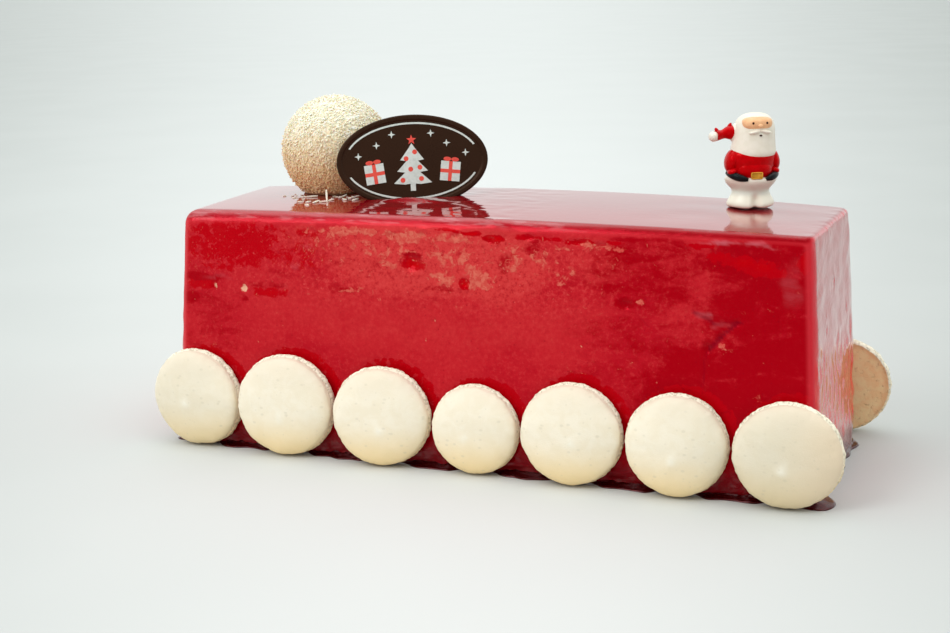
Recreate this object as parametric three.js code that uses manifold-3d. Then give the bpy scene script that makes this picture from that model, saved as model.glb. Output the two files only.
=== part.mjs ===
// Yule log cake: a long glazed log with a row of macaron shells along each side, and on its top
// a coconut ball, an oval chocolate plaque leaning on it, and a small moulded gift-bringer topper.
// Millimetres, +Z up. +X runs along the log and the front row faces -Y.
// The origin is the centre of the log's flat base.

import * as THREE from 'three';
import { mergeVertices } from 'three/addons/utils/BufferGeometryUtils.js';
import Module from 'manifold-3d';

const wasm = await Module();
wasm.setup();

// ---- driving dimensions ----------------------------------------------------------------------

// the glazed log, measured at its base, with what each side leans in by at the top
const logLength = 250;
const logWidth = 77;
const logHeight = 90.8;
const leanIn = { left: 3.9, right: 4.1, front: 5.5, back: 5.3 };
const leanCurve = 1.6; // above 1 the sides belly out a little at mid height
const backCornerShift = { left: -1.3, right: 2.3 }; // the ends aren't cut quite square
const cornerRadius = 4.4; // upright edges
const topEdge = { left: 5.5, right: 2.2 }; // the top edge is rounder at the left end
const footEdge = 0.8; // small round where the glaze meets the board
const crownRise = 3.7; // the top swells along the middle and the back
const crownCentre = -4;
const crownReach = 129;
const crownPower = 0.75;
const crownAtFront = 0.27; // share of the swell that the front edge keeps

// macaron shells: share of the radius at each height over a shell of 19 mm radius
const shellRadius = 19;
const shellSteps = 26;
const shellGap = 0.6; // between a shell's flat side and the log at its nearest
const shellProfile = [
  [0, 0], [0.9, 0], [0.98, 0.7], [1, 1.8], [0.975, 3.1], [0.962, 4.6],
  [0.9, 6.4], [0.72, 8.2], [0.4, 9.4], [0, 9.8],
];
const frontShells = [
  { x: -113.9, radius: 18.95, oval: 1.045, ovalTurn: 42, turn: 0 },
  { x: -74.3, radius: 19.85, oval: 1.015, turn: 3.6 },
  { x: -34.1, radius: 19.1, oval: 1.019, turn: 5.5 },
  { x: 2.9, radius: 17.05, oval: 1, turn: 2 },
  { x: 39.7, radius: 18.95, oval: 1.005, turn: 3.3 },
  { x: 77.7, radius: 18.7, oval: 0.986, turn: 4.3 },
  { x: 115.8, radius: 18.7, oval: 1.021, turn: 3.5 },
];
const backShells = [
  { x: -111.5, radius: 18.9, oval: 1.01, turn: 2.5 },
  { x: -72.6, radius: 19.4, oval: 0.99, turn: -1.5 },
  { x: -34.2, radius: 18.4, oval: 1.015, turn: 3 },
  { x: 3.4, radius: 18.3, oval: 0.985, turn: -2.5 },
  { x: 41.3, radius: 19.1, oval: 1, turn: 1.5 },
  { x: 80.6, radius: 19.2, oval: 1.01, turn: -2 },
  { x: 120.5, radius: 19.75, oval: 0.99, turn: 9 },
];
const backStandOff = 3.4; // the back row stands this much further out than the front row

// coconut ball
const ball = { x: -78.2, y: 16.3, radius: 22, sunk: 5.3, relief: 0.45 };

// oval chocolate plaque: half sizes, and where its middle stands above the glaze
const plaque = {
  halfLength: 29.4, halfHeight: 17.9, thick: 2.6, bevel: 0.6, rim: 1.9, recess: 0.5,
  x: -38.7, y: 2.35, middleHeight: 14.57, turn: 21.8, leanBack: 11.4, tilt: 1.2, steps: 56,
};

// moulded topper, in its own frame: it faces -Y and stands on z = 0
const topper = { x: 90.3, y: 14.3, turn: 29.5 };

const contactGap = 0.3; // between pieces that rest on or in each other

// loose coconut shreds on the glaze: x, y, length, turn and rise in degrees
const shredWidth = 1.05;
const shredThick = 0.8;
const shreds = [
  [-81.6, -1, 5, 14, 4], [-72.4, -5.4, 5, 118, 42], [-69.2, -7.8, 2.6, 70, 5],
  [-73.4, -12.4, 3.4, 75, 8], [-70.9, -11.2, 3, 25, 5], [-74.6, -17.8, 2.6, -35, 0],
  [-76.7, -12.6, 2.2, 60, 5], [-80.2, -12.4, 2.2, 40, 0], [-67.4, -1.4, 3.6, 60, 12],
  [-61.8, -2.6, 4.6, 40, 12], [-59.6, -6, 3.2, 75, 5], [-64.6, -5.4, 2.4, 150, 0],
];

const glazeRed = new THREE.MeshStandardMaterial({ color: 0xa80f1c, roughness: 0.12, metalness: 0 });
const shellCream = new THREE.MeshStandardMaterial({ color: 0xefe3c6, roughness: 0.7, metalness: 0 });
const coconutWhite = new THREE.MeshStandardMaterial({ color: 0xeee6d2, roughness: 0.85, metalness: 0 });
const darkChocolate = new THREE.MeshStandardMaterial({ color: 0x2d1b16, roughness: 0.3, metalness: 0 });
const topperWhite = new THREE.MeshStandardMaterial({ color: 0xf0ece6, roughness: 0.35, metalness: 0 });

const degrees = Math.PI / 180;

// ---- solids ----------------------------------------------------------------------------------

// a closed geometry with shared vertices as a manifold solid, turned to face outwards
function toSolid(geometry) {
  const bare = geometry.index ? geometry.toNonIndexed() : geometry.clone();
  bare.deleteAttribute('normal');
  bare.deleteAttribute('uv');
  const merged = mergeVertices(bare, 1e-4);
  const place = merged.attributes.position;
  const corner = (i) => new THREE.Vector3().fromBufferAttribute(place, i);
  const faces = [];
  let volume = 0;
  for (let i = 0; i < merged.index.count; i += 3) {
    const [a, b, c] = [0, 1, 2].map((n) => merged.index.getX(i + n));
    if (a === b || b === c || c === a) continue;
    faces.push([a, b, c]);
    volume += corner(a).dot(corner(b).cross(corner(c)));
  }
  const facing = volume < 0 ? faces.map(([a, b, c]) => [a, c, b]) : faces;
  const mesh = new wasm.Mesh({
    numProp: 3,
    vertProperties: new Float32Array(place.array),
    triVerts: new Uint32Array(facing.flat()),
  });
  return new wasm.Manifold(mesh);
}

function toGeometry(solid) {
  const mesh = solid.getMesh();
  const geometry = new THREE.BufferGeometry();
  geometry.setAttribute('position', new THREE.BufferAttribute(new Float32Array(mesh.vertProperties), 3));
  geometry.setIndex(new THREE.BufferAttribute(new Uint32Array(mesh.triVerts), 1));
  geometry.computeVertexNormals();
  return geometry;
}

function join(geometries) {
  return geometries.map(toSolid).reduce((whole, next) => whole.add(next));
}

// rings of equal point count, lowest first, skinned into one closed geometry: each end is closed
// by a fan round its middle point
function skinRings(rings, middles = [middleOf(rings[0]), middleOf(rings.at(-1))]) {
  const count = rings[0].length;
  const places = [...rings.flat(2), ...middles.flat()];
  const low = rings.length * count;
  const high = low + 1;
  const last = low - count;
  const faces = [];
  for (let i = 0; i < count; i += 1) {
    const next = (i + 1) % count;
    for (let r = 0; r + 1 < rings.length; r += 1) {
      const a = r * count + i;
      const b = r * count + next;
      faces.push(a, b, b + count, a, b + count, a + count);
    }
    faces.push(low, next, i, high, last + i, last + next);
  }
  const geometry = new THREE.BufferGeometry();
  geometry.setAttribute('position', new THREE.Float32BufferAttribute(places, 3));
  geometry.setIndex(faces);
  return geometry;
}

function middleOf(ring) {
  return [0, 1, 2].map((axis) => ring.reduce((sum, point) => sum + point[axis], 0) / ring.length);
}

// ---- the log ---------------------------------------------------------------------------------

function riseShare(z) {
  return Math.max(z / logHeight, 0) ** leanCurve;
}

function topEdgeAt(x) {
  return THREE.MathUtils.lerp(topEdge.left, topEdge.right, x / logLength + 0.5);
}

function topAt(x, y) {
  const along = Math.max(1 - ((x - crownCentre) / crownReach) ** 2, 0) ** crownPower;
  const across = THREE.MathUtils.smoothstep(y, -logWidth / 2, logWidth * 0.7);
  return logHeight + crownRise * along * THREE.MathUtils.lerp(crownAtFront, 1, Math.min(across * 1.5, 1));
}

// one level outline of the log, pulled in by shrink all round, counter-clockwise
function logOutline(share, shrink) {
  const left = -logLength / 2 + leanIn.left * share + shrink;
  const right = logLength / 2 - leanIn.right * share - shrink;
  const front = -logWidth / 2 + leanIn.front * share + shrink;
  const back = logWidth / 2 - leanIn.back * share - shrink;
  const radius = Math.max(cornerRadius - 0.7 * shrink, 1.2);
  const corners = [
    [left + radius, front + radius, 180],
    [right - radius, front + radius, 270],
    [right - radius + backCornerShift.right, back - radius, 0],
    [left + radius + backCornerShift.left, back - radius, 90],
  ];
  const arcSteps = 5;
  const sideSteps = [26, 8, 26, 8];
  const arcs = corners.map(([x, y, start]) => Array.from({ length: arcSteps + 1 }, (_, i) => {
    const angle = (start + (90 * i) / arcSteps) * degrees;
    return [x + radius * Math.cos(angle), y + radius * Math.sin(angle)];
  }));
  return arcs.flatMap((arc, side) => {
    const from = arc.at(-1);
    const to = arcs[(side + 1) % 4][0];
    const between = Array.from({ length: sideSteps[side] - 1 }, (_, i) => {
      const t = (i + 1) / sideSteps[side];
      return [from[0] + (to[0] - from[0]) * t, from[1] + (to[1] - from[1]) * t];
    });
    return [...arc, ...between];
  });
}

function logGeometry() {
  const rings = [];
  const sideTop = logHeight - topEdge.right;
  rings.push(logOutline(0, footEdge).map(([x, y]) => [x, y, 0]));
  rings.push(logOutline(0, 0).map(([x, y]) => [x, y, footEdge]));
  for (const share of [0.13, 0.27, 0.42, 0.57, 0.72, 0.87, 1]) {
    const outline = logOutline(riseShare(share * sideTop), 0);
    rings.push(outline.map(([x, y]) => [x, y, share * (topAt(x, y) - topEdgeAt(x))]));
  }
  const rim = logOutline(1, 0);
  for (const angle of [25, 50, 70, 90]) {
    rings.push(rim.map(([rimX], i) => {
      const radius = topEdgeAt(rimX);
      const [x, y] = logOutline(1, radius * (1 - Math.cos(angle * degrees)))[i];
      return [x, y, topAt(x, y) - radius * (1 - Math.sin(angle * degrees))];
    }));
  }
  for (const inwards of [10, 18, 29]) {
    rings.push(logOutline(1, inwards).map(([x, y]) => [x, y, topAt(x, y)]));
  }
  return skinRings(rings, [[0, 0, 0], [0, 0, topAt(0, 0)]]);
}

// a shred is a strip that lies a little sunk in the glaze, with one end raised
function shredGeometry([x, y, length, turn, rise]) {
  const strip = new THREE.BoxGeometry(length, shredWidth, shredThick);
  strip.rotateY(-rise * degrees);
  strip.rotateZ(turn * degrees);
  const lift = shredThick * 0.25 + (length / 2) * Math.sin(rise * degrees) * 0.8;
  strip.translate(x, y, topAt(x, y) + lift);
  return strip;
}

const bareLog = toSolid(logGeometry());
const raisedLog = bareLog.translate([0, 0, contactGap]);

// ---- macaron shells --------------------------------------------------------------------------

// side is -1 for the front row and 1 for the back row
function shellMesh(name, { x, radius, oval, ovalTurn = 0, turn }, side) {
  const scale = radius / shellRadius;
  const points = shellProfile.map(([share, height]) => new THREE.Vector2(share * radius, height * scale));
  const geometry = new THREE.LatheGeometry(points, shellSteps);
  if (side < 0) geometry.rotateZ(Math.PI);
  geometry.rotateY(ovalTurn * degrees).scale(oval, 1, 1).rotateY(-ovalTurn * degrees);
  const leanOf = side < 0 ? leanIn.front : leanIn.back;
  const standOff = side < 0 ? 0 : backStandOff;
  const lean = Math.atan2(leanOf * riseShare(2 * radius) + standOff, 2 * radius);
  const lowest = Math.max(...points.map((p) => p.x * Math.cos(lean) - p.y * Math.sin(lean)));
  const swing = radius * Math.abs(Math.sin(turn * degrees));
  const mesh = new THREE.Mesh(toGeometry(toSolid(geometry)), shellCream);
  mesh.name = name;
  mesh.rotation.set(side * lean, 0, turn * degrees, 'ZXY');
  mesh.position.set(x, side * (logWidth / 2 + shellGap + standOff + swing), lowest);
  return mesh;
}

// ---- coconut ball ----------------------------------------------------------------------------

function ballGeometry() {
  const geometry = new THREE.SphereGeometry(ball.radius, 30, 20);
  geometry.rotateX(Math.PI / 2);
  const place = geometry.attributes.position;
  const point = new THREE.Vector3();
  for (let i = 0; i < place.count; i += 1) {
    point.fromBufferAttribute(place, i);
    const bumps = Math.sin(point.x * 0.9 + point.z) + Math.sin(point.y * 1.1 - point.z * 0.7) +
      Math.sin(point.z * 1.3 + point.x * 0.4 - point.y * 0.6);
    point.setLength(ball.radius + (ball.relief * bumps) / 3);
    place.setXYZ(i, point.x, point.y, point.z);
  }
  geometry.translate(ball.x, ball.y, topAt(ball.x, ball.y) + ball.radius - ball.sunk);
  return toGeometry(toSolid(geometry).subtract(raisedLog));
}

// ---- chocolate plaque ------------------------------------------------------------------------

// stacked ovals from the flat back, over the bevelled rim, down to the recessed face
function plaqueGeometry() {
  const { halfLength, halfHeight, thick, bevel, rim, recess, steps } = plaque;
  const oval = (inset, height) => Array.from({ length: steps }, (_, i) => {
    const angle = (i / steps) * 2 * Math.PI;
    return [(halfLength - inset) * Math.cos(angle), (halfHeight - inset) * Math.sin(angle), height];
  });
  const geometry = skinRings([
    oval(bevel, 0), oval(0, bevel), oval(0, thick - bevel), oval(bevel, thick),
    oval(rim, thick), oval(rim + recess, thick - recess),
  ]);
  geometry.translate(0, 0, -thick / 2);
  geometry.rotateZ(plaque.tilt * degrees);
  geometry.rotateX(Math.PI / 2);
  geometry.translate(0, 0, plaque.middleHeight);
  geometry.rotateX(-plaque.leanBack * degrees);
  geometry.rotateZ(plaque.turn * degrees);
  geometry.translate(plaque.x, plaque.y, topAt(plaque.x, plaque.y));
  return toGeometry(toSolid(geometry).subtract(raisedLog));
}

// ---- topper ----------------------------------------------------------------------------------

function egg([x, y, z], [rx, ry, rz], turn = 0) {
  const geometry = new THREE.SphereGeometry(1, 14, 8);
  geometry.rotateX(Math.PI / 2);
  geometry.scale(rx, ry, rz);
  geometry.rotateY(turn * degrees);
  geometry.translate(x, y, z);
  return geometry;
}

// a turned form about the Z axis, squeezed front to back by depth
function turned(profile, depth, [x, y] = [0, 0]) {
  const geometry = new THREE.LatheGeometry(profile.map(([r, z]) => new THREE.Vector2(r, z)), 18);
  geometry.rotateX(Math.PI / 2);
  geometry.scale(1, depth, 1);
  geometry.translate(x, y, 0);
  return geometry;
}

// round rings along a bent line, each stop a place and a radius
function bentTube(stops) {
  const sides = 12;
  const places = stops.map(([x, y, z]) => new THREE.Vector3(x, y, z));
  const rings = stops.map(([, , , radius], i) => {
    const before = places[Math.max(i - 1, 0)];
    const after = places[Math.min(i + 1, places.length - 1)];
    const ahead = after.clone().sub(before).normalize();
    const across = new THREE.Vector3(0, 1, 0).cross(ahead).normalize();
    const up = ahead.clone().cross(across);
    return Array.from({ length: sides }, (_, n) => {
      const angle = (n / sides) * 2 * Math.PI;
      return places[i].clone()
        .addScaledVector(across, radius * Math.cos(angle))
        .addScaledVector(up, radius * Math.sin(angle))
        .toArray();
    });
  });
  return skinRings(rings);
}

function bootGeometry(side) {
  return bentTube([
    [3.1 * side, 0, 7.6, 2.9], [3.2 * side, 0, 5.4, 3.1], [3.8 * side, -0.3, 3.2, 3.7],
    [4.3 * side, -0.6, 1.6, 4.4], [4.4 * side, -0.6, 0.2, 4.5], [4.4 * side, -0.6, -0.9, 4.5],
  ]);
}

function topperGeometry() {
  const skirt = [[0, 4.8], [4.6, 5], [6.7, 6.4], [8.2, 8.1], [9.4, 9.6], [9.75, 10.6], [9.2, 11.5], [0, 11.9]];
  const coat = [[0, 11], [8.8, 11.2], [9.1, 12.8], [9.2, 15.4], [9, 18], [8.2, 20.2], [6.4, 21.4], [0, 22]];
  const head = [
    [0, 18.2], [5.2, 18.4], [7.4, 19.8], [8.1, 22.4], [8.2, 26], [8.1, 29], [7.5, 31.8], [6, 33.8],
    [3.4, 34.7], [0, 34.9],
  ];
  const pieces = [
    bootGeometry(-1),
    bootGeometry(1),
    turned(skirt, 0.85),
    turned(coat, 0.82),
    egg([-7.9, -1, 16.8], [2.4, 3.2, 4.4], 10),
    egg([7.9, -1, 16.8], [2.4, 3.2, 4.4], -10),
    egg([-6.6, -5.4, 12.6], [2.8, 1.8, 1.6], 16),
    egg([6.6, -5.4, 12.6], [2.8, 1.8, 1.6], -16),
    turned(head, 0.85, [0, -0.4]),
    egg([0, -5.8, 31.4], [5.4, 1.6, 2.8]),
    egg([0, 2.8, 30.3], [6.9, 4.6, 4.5]),
    bentTube([[-3.6, 2.8, 28.2, 3], [-8, 2.4, 27.7, 2.8], [-10.6, 2, 26.8, 2.2], [-13, 1.6, 26.3, 2]]),
    egg([-14, 1.4, 25.9], [1.9, 1.9, 1.9]),
  ];
  const figure = join(pieces).rotate([0, 0, topper.turn])
    .translate([topper.x, topper.y, topAt(topper.x, topper.y) + 0.1]);
  return toGeometry(figure.subtract(raisedLog));
}

// ---- assembly --------------------------------------------------------------------------------

function node(name, geometry, material) {
  const mesh = new THREE.Mesh(geometry, material);
  mesh.name = name;
  return mesh;
}

const cake = new THREE.Group();

const shreddedLog = shreds.map((shred) => toSolid(shredGeometry(shred)))
  .reduce((whole, strip) => whole.add(strip), bareLog);
cake.add(node('cake_log', toGeometry(shreddedLog), glazeRed));

frontShells.forEach((shell, i) => cake.add(shellMesh(`shell_front_${i + 1}`, shell, -1)));
backShells.forEach((shell, i) => cake.add(shellMesh(`shell_back_${i + 1}`, shell, 1)));

cake.add(node('coconut_ball', ballGeometry(), coconutWhite));
cake.add(node('plaque', plaqueGeometry(), darkChocolate));
cake.add(node('topper', topperGeometry(), topperWhite));

export default cake;
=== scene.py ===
import math
import random

import bmesh
import bpy
import numpy as np
from mathutils import Matrix, Vector, noise


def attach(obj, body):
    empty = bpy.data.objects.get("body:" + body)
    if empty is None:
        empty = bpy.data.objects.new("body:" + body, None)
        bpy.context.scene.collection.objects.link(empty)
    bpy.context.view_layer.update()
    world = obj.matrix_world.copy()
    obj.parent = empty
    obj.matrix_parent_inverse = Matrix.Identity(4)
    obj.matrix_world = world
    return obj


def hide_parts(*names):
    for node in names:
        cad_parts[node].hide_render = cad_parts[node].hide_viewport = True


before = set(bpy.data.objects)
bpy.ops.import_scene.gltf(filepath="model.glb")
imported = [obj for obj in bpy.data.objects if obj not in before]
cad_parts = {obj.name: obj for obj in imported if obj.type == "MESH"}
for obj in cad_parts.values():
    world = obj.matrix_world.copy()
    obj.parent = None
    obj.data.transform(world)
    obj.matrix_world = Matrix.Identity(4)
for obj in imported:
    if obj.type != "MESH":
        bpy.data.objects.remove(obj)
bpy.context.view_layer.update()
mm = 0.001
print("frame loaded")


def deselectAll():
    active = bpy.context.view_layer.objects.active
    if active is not None and active.mode != "OBJECT":
        bpy.ops.object.mode_set(mode="OBJECT")
    bpy.ops.object.select_all(action="DESELECT")


def activate(piece):
    deselectAll()
    piece.select_set(True)
    bpy.context.view_layer.objects.active = piece


def readVectors(piece, what):
    flat = np.empty(len(piece.data.vertices) * 3)
    piece.data.vertices.foreach_get(what, flat)
    return flat.reshape(-1, 3)


def readPlaces(piece):
    return readVectors(piece, "co") / mm


def writePlaces(piece, places):
    piece.data.vertices.foreach_set("co", (places * mm).ravel())
    piece.data.update()


def movePiece(piece, frameMatrix):
    # from a frame of its own to its place on the cake
    places = np.column_stack([readPlaces(piece), np.ones(len(piece.data.vertices))])
    writePlaces(piece, (places @ np.array(frameMatrix).T)[:, :3])


def paintField(piece, name, field):
    # a value from 0 to about 1 on every point, read by the piece's material
    attribute = piece.data.attributes.new(name, "FLOAT", "POINT")
    attribute.data.foreach_set("value", field.astype(np.float32))


def ownCopy(piece, name):
    twin = piece.copy()
    twin.data = piece.data.copy()
    twin.name = twin.data.name = name
    bpy.context.scene.collection.objects.link(twin)
    return twin


def lumps(places, size, seed=0):
    # a smooth random field of about -1 to 1, with lumps about size mm across
    away = Vector((7.31 * seed, -3.77 * seed, 5.13 * seed))
    return np.array([noise.noise(Vector(place) / size + away) for place in places])


def smoothStep(value, low, high):
    share = np.clip((value - low) / (high - low), 0, 1)
    return share * share * (3 - 2 * share)


def finishMesh(piece, smoothAngle=60):
    activate(piece)
    bpy.ops.object.mode_set(mode="EDIT")
    bpy.ops.mesh.select_all(action="SELECT")
    bpy.ops.mesh.remove_doubles(threshold=0.000002)
    bpy.ops.mesh.normals_make_consistent(inside=False)
    bpy.ops.object.mode_set(mode="OBJECT")
    bpy.ops.object.shade_smooth_by_angle(angle=math.radians(smoothAngle))


def joinPieces(pieces, name):
    activate(pieces[0])
    for piece in pieces:
        piece.select_set(True)
    bpy.ops.object.join()
    whole = bpy.context.view_layer.objects.active
    whole.name = whole.data.name = name
    return whole


def giveMaterials(piece, *materials):
    piece.data.materials.clear()
    for material in materials:
        piece.data.materials.append(material)


def standFor(piece, slotName, *nodeNames):
    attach(piece, "root")
    if nodeNames:
        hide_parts(*nodeNames)


def turnedForm(name, profile, sides):
    # a disc drawn up ring by ring, as on a lathe: profile is (radius, height) in mm
    deselectAll()
    bpy.ops.mesh.primitive_circle_add(
        vertices=sides, radius=profile[0][0] * mm, fill_type="NGON", location=(0, 0, profile[0][1] * mm))
    piece = bpy.context.object
    piece.name = piece.data.name = name
    bpy.ops.object.transform_apply(location=True)
    bpy.ops.object.mode_set(mode="EDIT")
    bpy.ops.mesh.select_all(action="SELECT")
    for (radius, height), (nextRadius, nextHeight) in zip(profile, profile[1:]):
        bpy.ops.mesh.extrude_region_move(
            TRANSFORM_OT_translate={"value": (0, 0, (nextHeight - height) * mm)})
        share = nextRadius / radius
        bpy.ops.transform.resize(value=(share, share, 1), center_override=(0, 0, nextHeight * mm))
    bpy.ops.object.mode_set(mode="OBJECT")
    return piece


def newMaterial(name, **sockets):
    material = bpy.data.materials.new(name)
    material.use_nodes = True
    tree = material.node_tree
    shader = tree.nodes["Principled BSDF"]
    for socket, value in sockets.items():
        shader.inputs[socket.replace("_", " ")].default_value = value
    place = tree.nodes.new("ShaderNodeTexCoord").outputs["Object"]
    return material, tree, shader, place


def colour(red, green, blue):
    return (red, green, blue, 1)


def addMapping(tree, place, stretch, turn=0):
    mapping = tree.nodes.new("ShaderNodeMapping")
    mapping.inputs["Rotation"].default_value = (0, math.radians(turn), 0)
    mapping.inputs["Scale"].default_value = stretch
    tree.links.new(place, mapping.inputs["Vector"])
    return mapping.outputs["Vector"]


def addNoise(tree, place, size, detail=2, roughness=0.5, warp=0):
    field = tree.nodes.new("ShaderNodeTexNoise")
    field.inputs["Scale"].default_value = 1 / (size * mm)
    field.inputs["Detail"].default_value = detail
    field.inputs["Roughness"].default_value = roughness
    field.inputs["Distortion"].default_value = warp
    tree.links.new(place, field.inputs["Vector"])
    return field.outputs["Fac"]


def addSpots(tree, place, size, radius, share):
    # round specks in a share of the cells of a loose net; size and radius in mm
    field = tree.nodes.new("ShaderNodeTexVoronoi")
    field.inputs["Scale"].default_value = 1 / (size * mm)
    tree.links.new(place, field.inputs["Vector"])
    chance = addMath(tree, "LESS_THAN", addAxis(tree, field.outputs["Color"], "X"), share)
    spot = addRange(tree, field.outputs["Distance"], 0.5 * radius / size, 1.3 * radius / size, 1.0, 0.0)
    return addTimes(tree, spot, chance)


def addRange(tree, value, low, high, toLow=0.0, toHigh=1.0):
    ranged = tree.nodes.new("ShaderNodeMapRange")
    ranged.interpolation_type = "SMOOTHSTEP"
    for socket, number in zip(("From Min", "From Max", "To Min", "To Max"), (low, high, toLow, toHigh)):
        ranged.inputs[socket].default_value = number
    tree.links.new(value, ranged.inputs["Value"])
    return ranged.outputs["Result"]


def addMath(tree, operation, *values):
    step = tree.nodes.new("ShaderNodeMath")
    step.operation = operation
    for socket, value in zip(step.inputs, values):
        if isinstance(value, (int, float)):
            socket.default_value = value
        else:
            tree.links.new(value, socket)
    return step.outputs[0]


def addTimes(tree, first, second):
    return addMath(tree, "MULTIPLY", first, second)


def addScaled(tree, value, factor, base):
    return addMath(tree, "MULTIPLY_ADD", value, factor, base)


def addMix(tree, share, first, second):
    mix = tree.nodes.new("ShaderNodeMix")
    mix.data_type = "RGBA"
    for socket, value in ((mix.inputs[0], share), (mix.inputs[6], first), (mix.inputs[7], second)):
        if isinstance(value, (int, float, tuple)):
            socket.default_value = value
        else:
            tree.links.new(value, socket)
    return mix.outputs[2]


def addAxis(tree, place, axis="Z"):
    split = tree.nodes.new("ShaderNodeSeparateXYZ")
    tree.links.new(place, split.inputs["Vector"])
    return split.outputs[axis]


def addAttribute(tree, name):
    attribute = tree.nodes.new("ShaderNodeAttribute")
    attribute.attribute_name = name
    return attribute.outputs["Fac"]


def addBump(tree, shader, height, distance, strength):
    bump = tree.nodes.new("ShaderNodeBump")
    bump.inputs["Distance"].default_value = distance * mm
    bump.inputs["Strength"].default_value = strength
    tree.links.new(height, bump.inputs["Height"])
    tree.links.new(bump.outputs["Normal"], shader.inputs["Normal"])


view = {
    "azimuth": 22.072, "elevation": 13.185, "roll": -1.408, "place": (197.59, -519.48, 179.76), "lens": 56.25,
}
studio = {
    "frontSky": 0.69, "backSky": 0.96, "skyTint": (0.975, 1.0, 0.99),
    "overhead": 1.36, "overheadFrom": (0.66, 0.96),
    # the sky dims or brightens to the sides: from and to, and its share at each
    "skySides": ((-0.42, 0.02, 1.0, 0.87), (-0.75, -0.45, 0.94, 1.0), (0.08, 0.30, 1.0, 1.14)),
    "softboxPlace": (-720, -1130, 1150), "softboxAim": (0, 0, 0.05), "softboxSize": 0.7, "softboxPower": 9.4,
    "floorSize": 60, "floorNear": (0.622, 0.640, 0.629), "floorFar": (0.675, 0.699, 0.691),
    "floorSideShade": (0.424, 0.449, 0.435), "floorCloud": (0.90, 0.92, 0.91),
    # the floor's painted pool of light, a brighter strip: where it starts, its turn, and how it widens
    "stripStart": (0.1976, -0.5195, 0), "stripTurn": 22.07, "stripBlur": 0.26, "stripShift": 0.015,
    "stripWiden": (0.02, 0.40),
}


def placeCamera():
    azimuth, elevation = math.radians(view["azimuth"]), math.radians(view["elevation"])
    level = math.cos(elevation)
    back = Vector((math.sin(azimuth) * level, -math.cos(azimuth) * level, math.sin(elevation)))
    deselectAll()
    bpy.ops.object.camera_add(location=Vector(view["place"]) * mm)
    camera = bpy.context.object
    facing = (-back).to_track_quat("-Z", "Y").to_matrix()
    rolled = facing @ Matrix.Rotation(math.radians(view["roll"]), 3, "Z")
    camera.rotation_euler = rolled.to_euler()
    camera.data.lens = view["lens"]
    camera.data.sensor_width = 36
    camera.data.clip_end = 100
    bpy.context.scene.camera = camera


def lightSky():
    world = bpy.data.worlds.new("paleStudio")
    bpy.context.scene.world = world
    world.use_nodes = True
    tree = world.node_tree
    background = tree.nodes["Background"]
    background.inputs["Color"].default_value = colour(*studio["skyTint"])
    direction = tree.nodes.new("ShaderNodeTexCoord").outputs["Generated"]
    strength = addRange(tree, addAxis(tree, direction, "Y"), -0.8, 0.8, studio["frontSky"], studio["backSky"])
    sideways = addAxis(tree, direction, "X")
    for span in studio["skySides"]:
        strength = addTimes(tree, strength, addRange(tree, sideways, *span))
    above = addRange(tree, addAxis(tree, direction), *studio["overheadFrom"], 0.0, studio["overhead"])
    tree.links.new(addMath(tree, "ADD", strength, above), background.inputs["Strength"])


def hangSoftbox():
    place = Vector(studio["softboxPlace"]) * mm
    bpy.ops.object.light_add(type="AREA", location=place)
    softbox = bpy.context.object
    softbox.name = "softbox"
    softbox.data.shape = "SQUARE"
    softbox.data.size = studio["softboxSize"]
    softbox.data.energy = studio["softboxPower"]
    softbox.rotation_euler = (Vector(studio["softboxAim"]) - place).to_track_quat("-Z", "Y").to_euler()


def layFloor():
    bpy.ops.mesh.primitive_plane_add(size=studio["floorSize"], location=(0, 0, -0.0001))
    floor = bpy.context.object
    floor.name = "paleFloor"
    material, tree, shader, place = newMaterial("paleFloor", Roughness=0.75, Specular_IOR_Level=0.15)
    mapping = tree.nodes.new("ShaderNodeMapping")
    mapping.vector_type = "TEXTURE"
    mapping.inputs["Location"].default_value = studio["stripStart"]
    mapping.inputs["Rotation"].default_value = (0, 0, math.radians(studio["stripTurn"]))
    tree.links.new(place, mapping.inputs["Vector"])
    aside = addAxis(tree, mapping.outputs["Vector"], "X")
    ahead = addMath(tree, "ABSOLUTE", addAxis(tree, mapping.outputs["Vector"], "Y"))
    spread = addMath(tree, "DIVIDE", aside, addMath(tree, "ADD", ahead, studio["stripBlur"]))
    spread = addMath(tree, "ABSOLUTE", addMath(tree, "ADD", spread, studio["stripShift"]))
    # painted light and shade on the floor: brighter far off and along the strip, painted shade out to the
    # sides
    near, far = colour(*studio["floorNear"]), colour(*studio["floorFar"])
    shade = addMix(tree, addRange(tree, ahead, 0.4, 1.4), near, far)
    shade = addMix(tree, addRange(tree, spread, *studio["stripWiden"]), shade, colour(*studio["floorSideShade"]))
    cloudy = addRange(tree, addNoise(tree, place, 140), 0.3, 0.7, 0.0, 0.04)
    shade = addMix(tree, cloudy, shade, colour(*studio["floorCloud"]))
    tree.links.new(shade, shader.inputs["Base Color"])
    giveMaterials(floor, material)


placeCamera()
lightSky()
hangSoftbox()
layFloor()
bpy.context.scene.view_settings.view_transform = "Standard"
print("camera, light and floor set")


log = {
    "length": 250, "width": 77, "height": 90.8,
    "leanLeft": 3.9, "leanRight": 4.1, "leanFront": 5.5, "leanBack": 5.3, "leanCurve": 1.6,
    "backLeft": -1.3, "backRight": 2.3, "cornerRadius": 4.4,
    "topEdgeLeft": 5.5, "topEdgeRight": 3.4, "endEdge": 1.7, "footEdge": 0.8,
    "crownRise": 3.7, "crownCentre": -4, "crownReach": 129, "crownPower": 0.75, "crownAtFront": 0.27,
    # cuts along X, Y and Z, made in two rounds, with finer lines near the edges
    "cuts": ((20, 14), (9, 7), (10, 9)), "fineWidth": (5, 5, 6.5), "fineLines": (7, 7, 10),
}

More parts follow.
